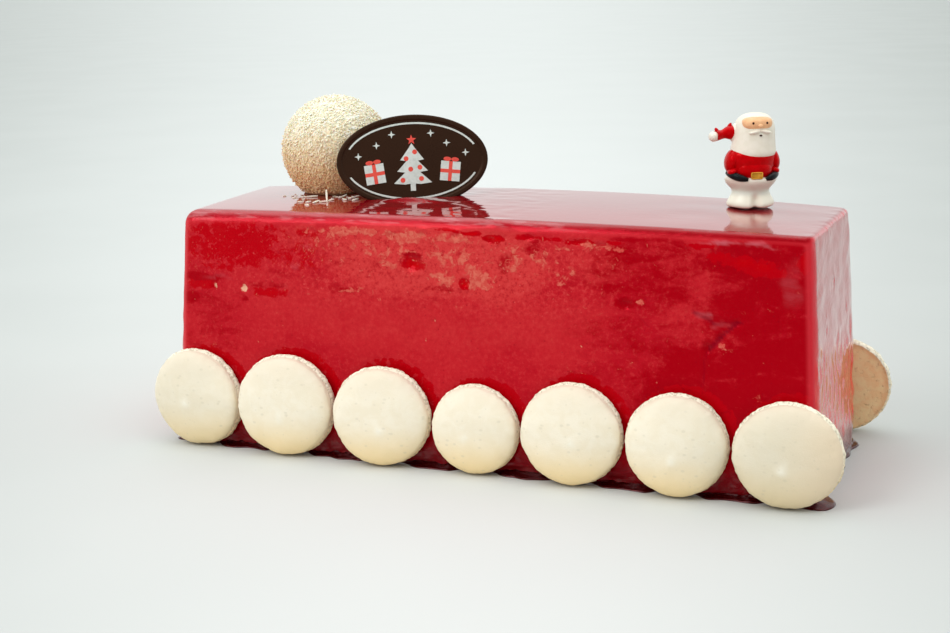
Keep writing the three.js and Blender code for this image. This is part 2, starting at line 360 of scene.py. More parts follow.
# x, z, half width, half height and depth of each dent in the front face, then of its raised rim
frontDents = [
    (-107.3, 62.1, 1.5, 1.7, 0.8, 0.2), (-94, 63.2, 1.7, 1.7, 0.8, 0.3), (-76.8, 63.6, 1.5, 1.5, 0.7, 0.2),
    (-116.5, 56.8, 1.1, 1.0, 0.4, 0.15), (-23.3, 75.6, 4.6, 3.2, 1.4, 0.35),
    (-32.3, 85.4, 1.7, 1.3, 0.6, 0.3), (-19.1, 86.2, 1.7, 1.5, 0.5, 0.35),
    (-6.1, 86.2, 1.8, 1.5, 0.5, 0.35), (-14.8, 54.7, 1.1, 1.3, 0.5, 0.3), (-2.5, 69.4, 2.2, 1.7, 0.8, 0.3),
    (-10.2, 67.6, 1.8, 1.0, 0.5, 0.25), (7, 85.4, 2.4, 1.3, 0.9, 0.3), (57.6, 65.4, 3.0, 1.7, 1.2, 0.25),
    (41.6, 48.8, 0.7, 0.8, 0.4, 0.2), (110.5, 62.9, 0.7, 0.7, 0.3, 0.15), (22, 87, 2.6, 1.2, 0.7, 0.2),
    (40, 86, 4.6, 1.1, 0.7, 0.2), (48, 85.6, 3.0, 1.0, 0.7, 0.2), (12, 74.5, 1.6, 1.5, 0.5, 0.25),
    (14.5, 79.5, 1.5, 1.3, 0.5, 0.25), (-83.5, 86.6, 1.0, 1.0, 0.35, 0.2),
    (-64.5, 86.2, 1.3, 1.0, 0.4, 0.2), (119.5, 37.6, 0.9, 0.9, 0.3, 0.2), (88, 62.6, 3.2, 1.2, 0.7, 0.2),
    (86.4, 52, 1.8, 2.4, 0.9, 0.2),
]
# the same on the right end, by y and z
endDents = [
    (-1.4, 70.3, 0.8, 2.6, 0.55, 0.2), (-16.7, 61.2, 0.7, 2.0, 0.4, 0.15),
    (-17.4, 56.5, 0.8, 2.8, 0.55, 0.2), (20.3, 56.7, 0.8, 2.4, 0.5, 0.15), (26, 73, 0.7, 2.8, 0.45, 0.15),
    (-5, 88, 0.8, 1.4, 0.3, 0.1),
]
# x, z, half width, half height and strength of what is painted on the front face
deepPatches = [
    (-82, 69, 12, 2.0, 0.5), (-52, 64.6, 8, 2.2, 0.6), (58, 87.6, 9, 1.5, 0.7), (-112, 65.4, 10, 1.9, 0.75),
    (-83, 64.4, 9, 1.9, 0.75), (-118, 58, 4, 2.4, 0.8), (-23.3, 78.4, 5.0, 1.7, 0.8),
    (-96, 59.4, 4, 1.8, 0.7), (57.4, 65.3, 3.6, 2.2, 1.0), (108, 70, 28, 32, 0.78), (98, 30, 42, 30, 0.8),
    (85.8, 52, 3.0, 3.0, 0.9), (-45, 74, 14, 3.5, 0.35), (66, 76, 28, 16, 0.55), (120, 45, 9, 45, 0.7),
    (13, 76.5, 3, 5, 0.6), (-12, 66.8, 5, 1.6, 0.7), (-112, 45, 18, 26, 0.40), (60, 45, 26, 26, 0.35),
    (24, 83, 4, 3, 0.6),
]
gelPatches = [  # thick clear glaze: pure bright red
    (-98, 80, 28, 11, 0.72), (-112, 63, 9, 2.0, 0.85), (-83, 61.4, 9, 2.2, 0.9),
    (-23.3, 75.2, 5.2, 2.8, 1.1), (-70, 77, 16, 8, 0.52), (-31.8, 85.3, 2.4, 1.3, 0.9),
    (-9, 88.2, 5, 0.9, 1.1), (0, 87.2, 4.6, 1.0, 1.1), (8.4, 85.6, 4.6, 1.4, 1.15),
    (20, 87.0, 5.0, 1.3, 0.9), (30, 86.6, 5, 1.0, 0.8), (41, 86.0, 6, 1.3, 0.9), (53, 86.2, 4, 1.0, 0.8),
    (-2.2, 69.2, 3.0, 2.4, 1.1), (17, 71.5, 2.2, 1.6, 0.6), (16, 80, 2.4, 1.8, 0.6), (91, 83, 7, 1.8, 0.85),
    (98, 81.8, 8, 2.8, 0.92), (105, 80.2, 7, 3.0, 0.9), (110, 78.6, 4, 2.0, 0.8), (84, 86.6, 7, 1.1, 0.85),
    (119, 83, 4, 4.6, 0.9), (-104, 70, 12, 1.4, 0.6), (-66, 84.5, 9, 2.0, 0.6),
]
# partly the paler mousse showing through, partly painted reflection
salmonPatches = [
    (-48, 86.6, 13, 2.2, 0.80), (-27, 85.6, 12, 2.8, 0.75), (-8, 84.8, 9, 2.6, 0.75),
    (-33, 75, 3.6, 1.4, 0.8), (-4, 78.5, 12, 6, 0.42), (-12, 70.5, 5.0, 2.6, 0.7),
    (2.8, 71.5, 4.8, 4.4, 0.85), (15, 79, 4.2, 7.0, 0.45), (27, 80, 4.2, 3.8, 0.40), (34, 74, 9, 4, 0.22),
    (45, 84.0, 13, 1.6, 0.6), (70, 86.4, 5, 1.6, 0.4), (63, 65.6, 2.8, 1.5, 0.8), (-46, 64.4, 6, 1.1, 0.8),
    (-14, 80, 5, 2.5, 0.55), (-40, 80, 12, 4, 0.40), (90, 53.4, 1.5, 1.3, 0.9), (-62, 80, 16, 7, 0.25),
    (-23, 79.6, 4.4, 0.8, 0.9),
]
thinPatches = [
    (-22, 78, 36, 15, 0.8), (8, 76, 22, 14, 0.7), (44, 80, 16, 9, 0.3), (-64, 83, 18, 6, 0.35),
    (-20, 58, 70, 14, 0.2),
]
# painted highlights: soft strokes of sheen on the front
sheenHighlightPatches = [
    (88.6, 88.0, 5, 0.9, 1.2), (93.3, 87.4, 3, 0.6, 0.9), (101, 88.2, 4, 0.8, 1.1),
    (106, 87.4, 4, 0.6, 0.8), (114.5, 75, 3.4, 8, 0.34), (85.8, 62.9, 3.2, 1.1, 0.9),
    (-66, 79, 4, 0.8, 0.3), (-72, 72.4, 3, 0.9, 0.4), (-104.5, 66, 6, 0.6, 0.3), (92, 60.4, 3.4, 0.8, 0.5),
]
# painted glints by the pits
pitGlintPatches = [
    (-106.7, 62.4, 1.0, 1.5, 1.0), (-94, 62.4, 1.7, 1.6, 1.0), (-76.4, 62.8, 1.1, 1.0, 0.6),
    (-14.4, 54.7, 0.7, 0.9, 0.8), (-18, 47.4, 0.5, 1.0, 0.7), (41.7, 48.9, 0.5, 0.6, 0.9),
    (110.4, 62.8, 0.7, 0.6, 0.7), (-23.0, 76, 1.9, 0.7, 0.9), (119.6, 37.6, 0.7, 0.6, 0.6),
    (-116.4, 57, 0.8, 0.7, 0.6), (-32, 85, 0.7, 0.8, 0.7), (-12.6, 70.2, 1.4, 1.0, 0.7),
]
# cracks in the glaze: both ends by x and z, half width and depth
cracks = [
    (97, 61.4, 91, 56, 0.9, 0.6), (91, 56, 87.2, 51.6, 1.3, 0.7), (86.6, 51, 85.0, 38, 0.8, 0.3),
    (81.6, 64.2, 89, 60.6, 1.0, 0.4), (89, 60.6, 98, 61.4, 0.8, 0.4), (62, 61, 66, 58.4, 0.8, 0.25),
]
# x and radius of the thick glaze pressed up round each shell, front and back, its pure red partly painted
# shade where the shell blocks the glaze's reflection
haloes = (
    ((-113.9, 18.95), (-74.3, 19.85), (-34.1, 19.1), (2.9, 17.05), (39.7, 18.95), (77.7, 18.7),
     (115.8, 18.7)),
    ((-111.5, 18.9), (-72.6, 19.4), (-34.2, 18.4), (3.4, 18.3), (41.3, 19.1), (80.6, 19.2),
     (120.5, 19.75)))


def riseShare(z):
    return np.maximum(z / log["height"], 0) ** log["leanCurve"]


def topAt(x, y):
    along = np.maximum(1 - ((x - log["crownCentre"]) / log["crownReach"]) ** 2, 0) ** log["crownPower"]
    across = np.clip(0.5 - y / log["width"], 0, 1)
    share = log["crownAtFront"] + (1 - log["crownAtFront"]) * (1 - across ** 2)
    return log["height"] + log["crownRise"] * along * share


def selectEdgesAlong(axis):
    mesh = bmesh.from_edit_mesh(bpy.context.object.data)
    for edge in mesh.edges:
        run = edge.verts[1].co - edge.verts[0].co
        edge.select_set(abs(run[axis]) > 0.9 * run.length)
    mesh.select_flush_mode()
    bmesh.update_edit_mesh(bpy.context.object.data)


def spreadLines(steps, cuts, length, fineWidth, fineLines):
    # even lines made finer towards both ends
    count = cuts[0] * cuts[1]
    lines = np.concatenate([
        np.linspace(0, fineWidth, fineLines + 1)[:-1],
        np.linspace(fineWidth, length - fineWidth, count - 2 * fineLines + 1),
        np.linspace(length - fineWidth, length, fineLines + 1)[1:]])
    return np.interp(steps * count, np.arange(count + 1), lines) - length / 2


def roundBox(unit):
    # a box of even lines drawn over the log: upright edges, top edge and foot rounded, sides leaning in
    sizes = (log["length"], log["width"], log["height"])
    x, y, z = [
        spreadLines(unit[:, i] + 0.5, log["cuts"][i], sizes[i], log["fineWidth"][i], log["fineLines"][i])
        for i in range(3)]
    z = z + log["height"] / 2
    radius = log["cornerRadius"]
    innerX = np.clip(x, -sizes[0] / 2 + radius, sizes[0] / 2 - radius)
    innerY = np.clip(y, -sizes[1] / 2 + radius, sizes[1] / 2 - radius)
    awayX, awayY = x - innerX, y - innerY
    reach = np.maximum(np.hypot(awayX, awayY), 1e-9)
    ring = np.maximum(np.abs(awayX), np.abs(awayY))
    x, y = innerX + awayX * ring / reach, innerY + awayY * ring / reach
    inset = np.where(ring > 1e-6, radius - ring, np.minimum(
        sizes[0] / 2 - np.abs(x), sizes[1] / 2 - np.abs(y)))
    outX = np.where(ring > 1e-6, awayX / reach, np.where(
        sizes[0] / 2 - np.abs(x) < sizes[1] / 2 - np.abs(y), np.sign(x), 0))
    outY = np.where(ring > 1e-6, awayY / reach, np.where(outX == 0, np.sign(y), 0))
    edge = log["topEdgeLeft"] + (log["topEdgeRight"] - log["topEdgeLeft"]) * (x / sizes[0] + 0.5)
    edge = edge + (log["endEdge"] - edge) * smoothStep(outX, 0.4, 1)
    down = log["height"] - z
    isTop = (inset < edge) & (down < edge)
    spanS, spanH = inset - edge, down - edge
    spanAll = np.maximum(np.hypot(spanS, spanH), 1e-9)
    newInset = np.where(isTop, edge + edge * spanS / spanAll, inset)
    newDown = np.where(isTop, edge + edge * spanH / spanAll, down)
    foot = np.clip(1 - z / log["footEdge"], 0, 1)
    footIn = np.where(inset < 1e-6, log["footEdge"] * (1 - np.sqrt(1 - foot * foot)), 0)
    x = x - outX * (newInset - inset + footIn)
    y = y - outY * (newInset - inset + footIn)
    z = log["height"] - newDown
    share = riseShare(z)
    right = np.clip(x / sizes[0] + 0.5, 0, 1)
    back = np.clip(y / sizes[1] + 0.5, 0, 1)
    x = x + share * (log["leanLeft"] * (1 - right) - log["leanRight"] * right)
    y = y + share * (log["leanFront"] * (1 - back) - log["leanBack"] * back)
    x = x + back * (log["backLeft"] * (1 - right) + log["backRight"] * right)
    z = z * topAt(x, y) / log["height"]
    return np.column_stack([x, y, z])


def patchField(x, z, patches, wander, softness=(0.55, 1.35)):
    # patches laid over each other, their outlines pulled about by wander
    field = np.zeros_like(x)
    x, z = x + wander[0], z + wander[1]
    for middleX, middleZ, halfX, halfZ, strength in patches:
        distance = np.hypot((x - middleX) / halfX, (z - middleZ) / halfZ)
        field = np.maximum(field, strength * (1 - smoothStep(distance, *softness)))
    return field


def nearCrack(x, z, crack):
    # how far each point lies from the crack, in its half widths
    startX, startZ, endX, endZ, half, _ = crack
    run = np.array([endX - startX, endZ - startZ])
    share = np.clip(((x - startX) * run[0] + (z - startZ) * run[1]) / (run @ run), 0, 1)
    return np.hypot(x - startX - share * run[0], z - startZ - share * run[1]) / half


def drawLogBox():
    # a cube cut into even lines, then drawn over the log
    deselectAll()
    bpy.ops.mesh.primitive_cube_add(size=1)
    piece = bpy.context.object
    piece.name = piece.data.name = "glazedLog"
    bpy.ops.object.mode_set(mode="EDIT")
    bpy.ops.mesh.select_mode(type="EDGE")
    for axis, cuts in enumerate(log["cuts"]):
        for count in cuts:
            bpy.ops.mesh.select_all(action="DESELECT")
            selectEdgesAlong(axis)
            bpy.ops.mesh.subdivide(number_cuts=count - 1)
    bpy.ops.object.mode_set(mode="OBJECT")
    places = roundBox(readVectors(piece, "co"))
    writePlaces(piece, places)
    return piece, places


def findZones(places, normals):
    # how far each point belongs to the two long faces, the top and the ends
    x, y, z = places.T
    zones = {
        "front": smoothStep(np.abs(normals[:, 1]), 0.55, 0.9), "top": smoothStep(normals[:, 2], 0.75, 0.97),
        "ends": smoothStep(np.abs(normals[:, 0]), 0.75, 0.97), "calm": 1 - smoothStep(z, 85, 88.5)}
    zones["side"] = (1 - zones["top"]) * (1 - zones["front"])
    zones["along"] = np.where(y < 0, x, -x)  # the back wears the front's finish, turned round
    return zones


def swellGlaze(places, zones, salmonField):
    # slow swell everywhere, lumps on the long faces, drips down the ends
    x, y, z = places.T
    front, top, side, calm = [zones[name] for name in ("front", "top", "side", "calm")]
    relief = 0.10 * lumps(places, 26, 1) * (1 - 0.75 * top)
    upper = smoothStep(z, 52, 74)
    relief += (0.22 * lumps(places, 7.5, 2) * upper + 0.06 * lumps(places, 9, 3)) * front * calm
    relief += 0.16 * lumps(places, 2.6, 4) * front * calm * smoothStep(salmonField, 0.3, 0.8)
    relief += 0.24 * lumps(places * (1, 0.5, 0.75), 4.5, 5) * side
    relief += 0.20 * lumps(places * (1, 0.8, 0.6), 10, 6) * side
    relief += 0.62 * lumps(places * (1, 0.6, 0.4), 2.6, 15) * zones["ends"] * (1 - smoothStep(z, 40, 60))
    atEdge = np.exp(-((np.abs(x) - 122) / 3.5) ** 2 - ((z - 90) / 3.0) ** 2)
    relief += 0.20 * lumps(places * (0.3, 1, 0.3), 3.4, 7) * atEdge
    relief += 0.09 * lumps(places * (0.5, 1, 1), 3.2, 8) * top * (1 - smoothStep(np.abs(x + 32), 34, 60))
    relief += 0.16 * lumps(places * (0.6, 1, 1), 14, 9) * top * smoothStep(x, 40, 80)
    # the glaze folds where it ran down behind the shells
    relief += 0.9 * np.abs(lumps(places * (0.4, 1, 1.4), 3.6, 31)) * front * (1 - smoothStep(z, 3, 10))
    # it is heaped up before the plaque, and makes a small wave on the far edge
    relief += 1.5 * np.exp(-((x + 36.5) / 9) ** 2 - ((y + 4.5) / 2.0) ** 2) * top
    relief += 0.9 * np.exp(-((x - 8.1) / 5) ** 2) * smoothStep(z, 86, 89.5) * smoothStep(-y, 28, 33)
    return relief


def pressDents(across, z, dents, rimAt, rimWidth, pitWidth):
    # dents with raised rims; the last three are in half widths of the dent
    relief = np.zeros_like(z)
    for middle, dentZ, halfAcross, halfZ, depth, rim in dents:
        distance = np.hypot((across - middle) / halfAcross, (z - dentZ) / halfZ)
        relief += rim * np.exp(-((distance - rimAt) / rimWidth) ** 2)
        relief -= depth * np.exp(-(distance / pitWidth) ** 2)
    return relief


def openCracks(along, z, wander):
    depth, field = np.zeros_like(z), np.zeros_like(z)
    for crack in cracks:
        near = np.exp(-nearCrack(along + wander[0] * 0.3, z + wander[1] * 0.3, crack) ** 2)
        depth += crack[5] * near
        field = np.maximum(field, min(2 * crack[5], 1) * near)
    return depth, field


def ringShells(x, y, z, wander):
    # the thick glaze pressed up round the shells, partly painted shade where they block the glaze's
    # reflection
    halo = np.zeros_like(x)
    for row, isRow in zip(haloes, (y < 0, y >= 0)):
        for middleX, radius in row:
            away = np.hypot(x - middleX - 2.0, z - radius) - radius + 0.5 * wander[1]
            halo = np.maximum(halo, isRow * (1 - smoothStep(away, 0.4, 2.6)))
    return halo


def edgeFields(normals):
    # the upright edges, and the rounded edge between the long faces and the top, where painted highlight and
    # shade go
    acrossX, acrossY, up = np.abs(normals[:, 0]), np.abs(normals[:, 1]), normals[:, 2]
    flat = np.maximum(smoothStep(acrossX, 0.93, 0.995), smoothStep(up, 0.90, 0.995))
    rim = 1 - np.maximum(smoothStep(acrossY, 0.90, 0.995), flat)
    corner = rim * (1 - smoothStep(up, 0.25, 0.6))
    return {"corner": corner, "browLightAndShade": (rim - corner) * (1 - smoothStep(acrossX, 0.3, 0.6))}


def makeLog():
    piece, places = drawLogBox()
    normals = readVectors(piece, "normal")
    zones = findZones(places, normals)
    x, y, z = places.T
    along, front = zones["along"], zones["front"]
    wander = (2.6 * lumps(places, 6, 21) + 1.2 * lumps(places, 2.2, 22),
              1.5 * lumps(places, 5, 23) + 0.8 * lumps(places, 2.0, 24))
    salmonField = patchField(along, z, salmonPatches, wander)
    crackDepth, crackField = openCracks(along, z, wander)
    relief = swellGlaze(places, zones, salmonField)
    relief += front * (pressDents(along, z, frontDents, 1.25, 0.35, 0.75) - crackDepth)
    relief += zones["ends"] * pressDents(y, z, endDents, 1.3, 0.4, 0.8)
    places = places + normals * relief[:, None]
    places[:, 2] = np.maximum(places[:, 2], 0)
    writePlaces(piece, places)
    small = (0.45 * lumps(places, 1.6, 25), 0.45 * lumps(places, 1.6, 26))
    gelField = patchField(along, z, gelPatches, (wander[0] * 0.4, wander[1] * 0.4), (0.3, 1.5))
    onFront = {"crack": crackField, "gel": np.maximum(gelField, 0.7 * ringShells(x, y, z, wander)),
               "salmon": salmonField, "pitGlint": patchField(along, z, pitGlintPatches, small)}
    for name, patches in (("deep", deepPatches), ("thin", thinPatches), ("sheenHighlight", sheenHighlightPatches)):
        onFront[name] = patchField(along, z, patches, wander)
    for name, field in onFront.items():
        paintField(piece, name, field * front)
    rough = front * smoothStep(z, 50, 72) * zones["calm"] * (1 - 0.9 * smoothStep(along, 20, 75))
    rough = rough * (0.45 + 0.55 * smoothStep(along, -90, -50))
    fields = {"front": front, "side": zones["side"], "rough": rough, **edgeFields(normals)}
    for name, field in fields.items():
        paintField(piece, name, field)
    finishMesh(piece, 80)
    return piece


def glazeReds(tint):
    # every colour of the glaze; a tint below 1 darkens it, as painted shade for the glaze run out at the foot
    return {
        "crimson": colour(0.530 * tint, 0.0150 * tint, 0.0225 * tint),
        "rich": colour(0.470 * tint, 0.0060 * tint, 0.0150 * tint),
        "deep": colour(0.372 * tint, 0.0001, 0.0045 * tint),
        "gel": colour(0.470 * tint, 0.0001, 0.0040 * tint),
        "gelBright": colour(0.530 * tint, 0.0001, 0.0020 * tint),
        "thin": colour(0.610 * tint, 0.0390 * tint, 0.0390 * tint),
        "top": colour(0.275 * tint, 0.0020 * tint, 0.0080 * tint),
        "topFront": colour(0.34 * tint, 0.0020 * tint, 0.0090 * tint),
        "end": colour(0.560 * tint, 0.0060 * tint, 0.0200 * tint),
        # painted bounce light low on the ends
        "endLowBounce": colour(0.80 * tint, 0.032 * tint, 0.018 * tint),
        # painted shade at the foot
        "foot": colour(0.110 * tint, 0.0001, 0.0016 * tint),
        "salmonDark": colour(0.60 * tint, 0.070 * tint, 0.055 * tint),
        "salmonLight": colour(0.66 * tint, 0.140 * tint, 0.098 * tint),
        "mottleDark": colour(0.36 * tint, 0.003, 0.010),
        "mottleBright": colour(0.66 * tint, 0.055 * tint, 0.055 * tint),
        # painted glints as pale flecks
        "fleckGlint": colour(0.72 * tint, 0.10 * tint, 0.09 * tint),
        "fleckDark": colour(0.26 * tint, 0.003, 0.010),
        "crack": colour(0.19 * tint, 0.001, 0.010),
        # painted shade and highlight on the rounded top edge, and a painted highlight down the upright edges
        "browShade": colour(0.35 * tint, 0.004 * tint, 0.012 * tint),
        "browHighlightPale": colour(0.44 * tint, 0.120 * tint, 0.130 * tint),
        "browShadeRight": colour(0.26 * tint, 0.001, 0.004),
        "corner": colour(0.72 * tint, 0.040 * tint, 0.055 * tint),
        # the painted highlight strokes, and the painted glints by the pits
        "sheenHighlight": colour(0.60, 0.13, 0.16), "pitGlint": colour(0.80, 0.42, 0.27),
    }


def readGlazeParts(tree, place):
    # what the glaze is mixed from: fields painted on the mesh, places and noises
    part = {name: addAttribute(tree, name) for name in (
        "front", "side", "deep", "gel", "salmon", "thin", "sheenHighlight", "pitGlint", "crack", "rough", "corner",
        "browLightAndShade")}
    part["along"], part["across"], part["height"] = [addAxis(tree, place, axis) for axis in "XYZ"]
    part["low"] = addRange(tree, part["height"], 4 * mm, 13 * mm, 1.0, 0.0)
    part["right"] = addRange(tree, part["along"], 15 * mm, 60 * mm)
    # the lower ends, where bounce light is painted
    part["endLowBounce"] = addTimes(tree, addRange(tree, part["side"], 0.9, 1.0),
                              addRange(tree, part["height"], 24 * mm, 66 * mm, 0.75, 0.0))
    # crinkled map, slanting clouds, small grain and slow change
    part["crinkle"] = addNoise(tree, place, 3.2, 7, 0.64, 0.5)
    part["streaky"] = addNoise(tree, addMapping(tree, place, (0.4, 1, 1), 28), 6.5, 6, 0.62, 0.8)
    part["grain"] = addNoise(tree, place, 0.75, 3, 0.6)
    part["slow"] = addNoise(tree, place, 34, 3, 0.55)
    return part


def mixReds(tree, part, reds):
    # from crimson to the deeper reds, with thick clear glaze over them
    cloudy = addScaled(tree, part["deep"], 0.30, part["slow"])
    cloudy = addScaled(tree, part["streaky"], 0.55, cloudy)
    cloudy = addScaled(tree, part["crinkle"], 0.35, cloudy)
    shade = addMix(tree, addRange(tree, cloudy, 0.86, 1.20), reds["crimson"], reds["rich"])
    thinShare = addRange(tree, addScaled(tree, part["crinkle"], 0.8, part["thin"]), 0.35, 1.1)
    shade = addMix(tree, thinShare, shade, reds["thin"])
    deepShare = addScaled(tree, part["streaky"], 1.5, part["deep"])
    deepShare = addRange(tree, addScaled(tree, part["crinkle"], 0.8, deepShare), 1.42, 1.92)
    shade = addMix(tree, deepShare, shade, reds["deep"])
    gel = addMix(tree, addRange(tree, part["gel"], 0.80, 1.0), reds["gel"], reds["gelBright"])
    gelShare = addRange(tree, addScaled(tree, part["crinkle"], 2.0, part["gel"]), 1.36, 1.60)
    return addMix(tree, gelShare, shade, gel), addMath(tree, "MAXIMUM", deepShare, gelShare)


def mottleGlaze(tree, place, part, reds, shade, clearShare):
    # strongest where the face is rough, faint in the clear glaze
    mottle = addNoise(tree, place, 1.5, 5, 0.72)
    strength = addTimes(tree, part["front"], addRange(tree, part["rough"], 0, 1, 0.22, 0.65))
    strength = addTimes(tree, strength, addRange(tree, clearShare, 0.6, 1.0, 1.0, 0.12))
    dark = addTimes(tree, addRange(tree, mottle, 0.50, 0.66), strength)
    bright = addTimes(tree, addRange(tree, mottle, 0.36, 0.50, 1.0, 0.0), strength)
    shade = addMix(tree, dark, shade, reds["mottleDark"])
    return addMix(tree, bright, shade, reds["mottleBright"])


def showMousseAndReflection(tree, place, part, reds, shade):
    # partly the paler mousse showing through a thin coat, partly painted reflection; its blotches sharp and
    # crinkled
    share = addScaled(tree, part["salmon"], 0.30, part["crinkle"])
    share = addRange(tree, addScaled(tree, part["rough"], 0.05, share), 0.65, 0.76)
    share = addTimes(tree, share, part["front"])
    blotch = addRange(tree, addNoise(tree, place, 1.7, 4, 0.6, 0.6), 0.40, 0.62)
    salmon = addMix(tree, blotch, reds["salmonDark"], reds["salmonLight"])
    return addMix(tree, share, shade, salmon), share


def markGlaze(tree, place, part, reds, shade):
    # painted glints as pale flecks, dark flecks, painted highlight strokes, painted glints by the pits, and
    # cracks
    flecks = addTimes(tree, addSpots(tree, place, 1.8, 0.30, 0.35), part["rough"])
    shade = addMix(tree, addTimes(tree, flecks, 0.8), shade, reds["fleckGlint"])
    flecks = addSpots(tree, place, 2.3, 0.32, 0.4)
    shade = addMix(tree, addTimes(tree, flecks, 0.4), shade, reds["fleckDark"])
    sheenHighlight = addTimes(tree, part["sheenHighlight"], addRange(tree, part["streaky"], 0.35, 0.6, 0.15, 0.6))
    shade = addMix(tree, sheenHighlight, shade, reds["sheenHighlight"])
    pitGlints = addRange(tree, addScaled(tree, part["grain"], 1.1, part["pitGlint"]), 1.05, 1.50)
    shade = addMix(tree, pitGlints, shade, reds["pitGlint"])
    return addMix(tree, addRange(tree, part["crack"], 0.2, 1.0, 0.0, 0.7), shade, reds["crack"])


def shadeEdges(tree, place, part, reds, shade):
    frontward = addRange(tree, part["across"], -24 * mm, 8 * mm, 1.0, 0.0)
    top = addMix(tree, frontward, reds["top"], reds["topFront"])
    shade = addMix(tree, part["front"], addMix(tree, part["side"], top, reds["end"]), shade)
    # painted light and shade on the rounded top edge: painted shade streaked with paler painted highlight on
    # the left, deeper painted shade at its right; and a painted highlight down the upright edges
    streaks = addRange(tree, addNoise(tree, addMapping(tree, place, (0.2, 1, 1)), 2.0, 3), 0.48, 0.66)
    browLightAndShade = addMix(tree, streaks, reds["browShade"], reds["browHighlightPale"])
    browLightAndShade = addMix(tree, part["right"], browLightAndShade, reds["browShadeRight"])
    shade = addMix(tree, addTimes(tree, part["browLightAndShade"], 0.8), shade, browLightAndShade)
    shade = addMix(tree, addTimes(tree, part["corner"], 0.6), shade, reds["corner"])
    # painted bounce light low on the ends, painted shade at the foot
    shade = addMix(tree, part["endLowBounce"], shade, reds["endLowBounce"])
    return addMix(tree, addRange(tree, part["height"], 3 * mm, 16 * mm, 0.9, 0.0), shade, reds["foot"])


def wetGlaze(tree, part, wetness):
    # mirror-like off the front, round the edges and at the foot
    foot = addTimes(tree, part["low"], addRange(tree, part["crinkle"], 0.46, 0.62, 0.12, 0.75))
    wet = addMath(tree, "MAXIMUM", addRange(tree, part["front"], 0.0, 0.9, 1.0, 0.02), foot)
    wet = addTimes(tree, wet, addRange(tree, addTimes(tree, part["browLightAndShade"], part["right"]), 0, 1, 1.0, 0.3))
    wet = addTimes(tree, wet, addRange(tree, part["endLowBounce"], 0, 1, 1.0, 0.72))
    return addTimes(tree, wet, addRange(tree, part["along"], -125 * mm, -50 * mm, 0.90 * wetness, wetness))


def rippleGlaze(tree, place, part, mousseReflectionShare):
    # ripples on the front, runs down the ends, a nearly level top
    frontShare = addRange(tree, part["front"], 0, 1, 0.45, 0.8)
    ripple = addTimes(tree, addNoise(tree, place, 2.2, 3, 0.55), frontShare)
    runs = addNoise(tree, addMapping(tree, place, (1, 0.35, 0.55)), 2.4, 4, 0.6, 0.8)
    rise = addScaled(tree, runs, addTimes(tree, part["side"], 5.0), ripple)
    rise = addScaled(tree, mousseReflectionShare, 0.4, rise)
    crinkled = addMath(tree, "MAXIMUM", part["rough"], addTimes(tree, part["low"], 2.0))
    return addScaled(tree, part["crinkle"], addTimes(tree, crinkled, 1.2), rise)


def makeGlaze(name, tint=1.0, wetness=1.0):
    material, tree, shader, place = newMaterial(
        name, Roughness=0.07, IOR=1.45, Specular_Tint=colour(1, 0.02, 0.06), Coat_Weight=1.0, Coat_IOR=1.45,
        Coat_Roughness=0.04)
    reds, part = glazeReds(tint), readGlazeParts(tree, place)
    shade, clearShare = mixReds(tree, part, reds)
    shade = mottleGlaze(tree, place, part, reds, shade, clearShare)
    shade, mousseReflectionShare = showMousseAndReflection(tree, place, part, reds, shade)
    shade = markGlaze(tree, place, part, reds, shade)
    shade = shadeEdges(tree, place, part, reds, shade)
    tree.links.new(shade, shader.inputs["Base Color"])
    tree.links.new(addRange(tree, mousseReflectionShare, 0, 1, 0.06, 0.22), shader.inputs["Roughness"])
    tree.links.new(wetGlaze(tree, part, wetness), shader.inputs["Coat Weight"])
    addBump(tree, shader, rippleGlaze(tree, place, part, mousseReflectionShare), 0.14, 0.7)
    return material


glazedLog = makeLog()
giveMaterials(glazedLog, makeGlaze("glaze"))
standFor(glazedLog, "glaze", "cake_log")
print("glazed log made")


shells = {
    "radius": 19, "gap": 0.6, "backStandOff": 3.4, "sides": 256,
    "profile": (
        (15.5, 0.35), (17.2, 0.2), (17.8, 0.0), (18.35, 0.2), (18.8, 0.7), (19.0, 1.25), (19.0, 1.8),
        (18.9, 2.3), (18.65, 2.8), (18.35, 3.2), (18.12, 3.5), (18.15, 3.75), (18.28, 4.0), (18.4, 4.4),
        (18.38, 4.85), (18.15, 5.4), (17.7, 6.0), (17.0, 6.6), (16.0, 7.2), (14.6, 7.8), (12.9, 8.35),
        (10.9, 8.85), (8.7, 9.25), (6.3, 9.55), (4.0, 9.72), (1.8, 9.8)),
    "grooveHeight": 3.6, "flatRadius": 17,
    "front": (
        (-113.9, 18.95, 1.045, 42, 0), (-74.3, 19.85, 1.015, 0, 3.6), (-34.1, 19.1, 1.019, 0, 5.5),
        (2.9, 17.05, 1, 0, 2), (39.7, 18.95, 1.005, 0, 3.3), (77.7, 18.7, 0.986, 0, 4.3),
        (115.8, 18.7, 1.021, 0, 3.5)),
    "back": (
        (-111.5, 18.9, 1.01, 0, 2.5), (-72.6, 19.4, 0.99, 0, -1.5), (-34.2, 18.4, 1.015, 0, 3),
        (3.4, 18.3, 0.985, 0, -2.5), (41.3, 19.1, 1, 0, 1.5), (80.6, 19.2, 1.01, 0, -2),
        (120.4, 19.6, 0.99, 0, 9)),
}


def makeShellStock():
    stock = turnedForm("shellStock", shells["profile"], shells["sides"])
    finishMesh(stock, 70)
    return stock


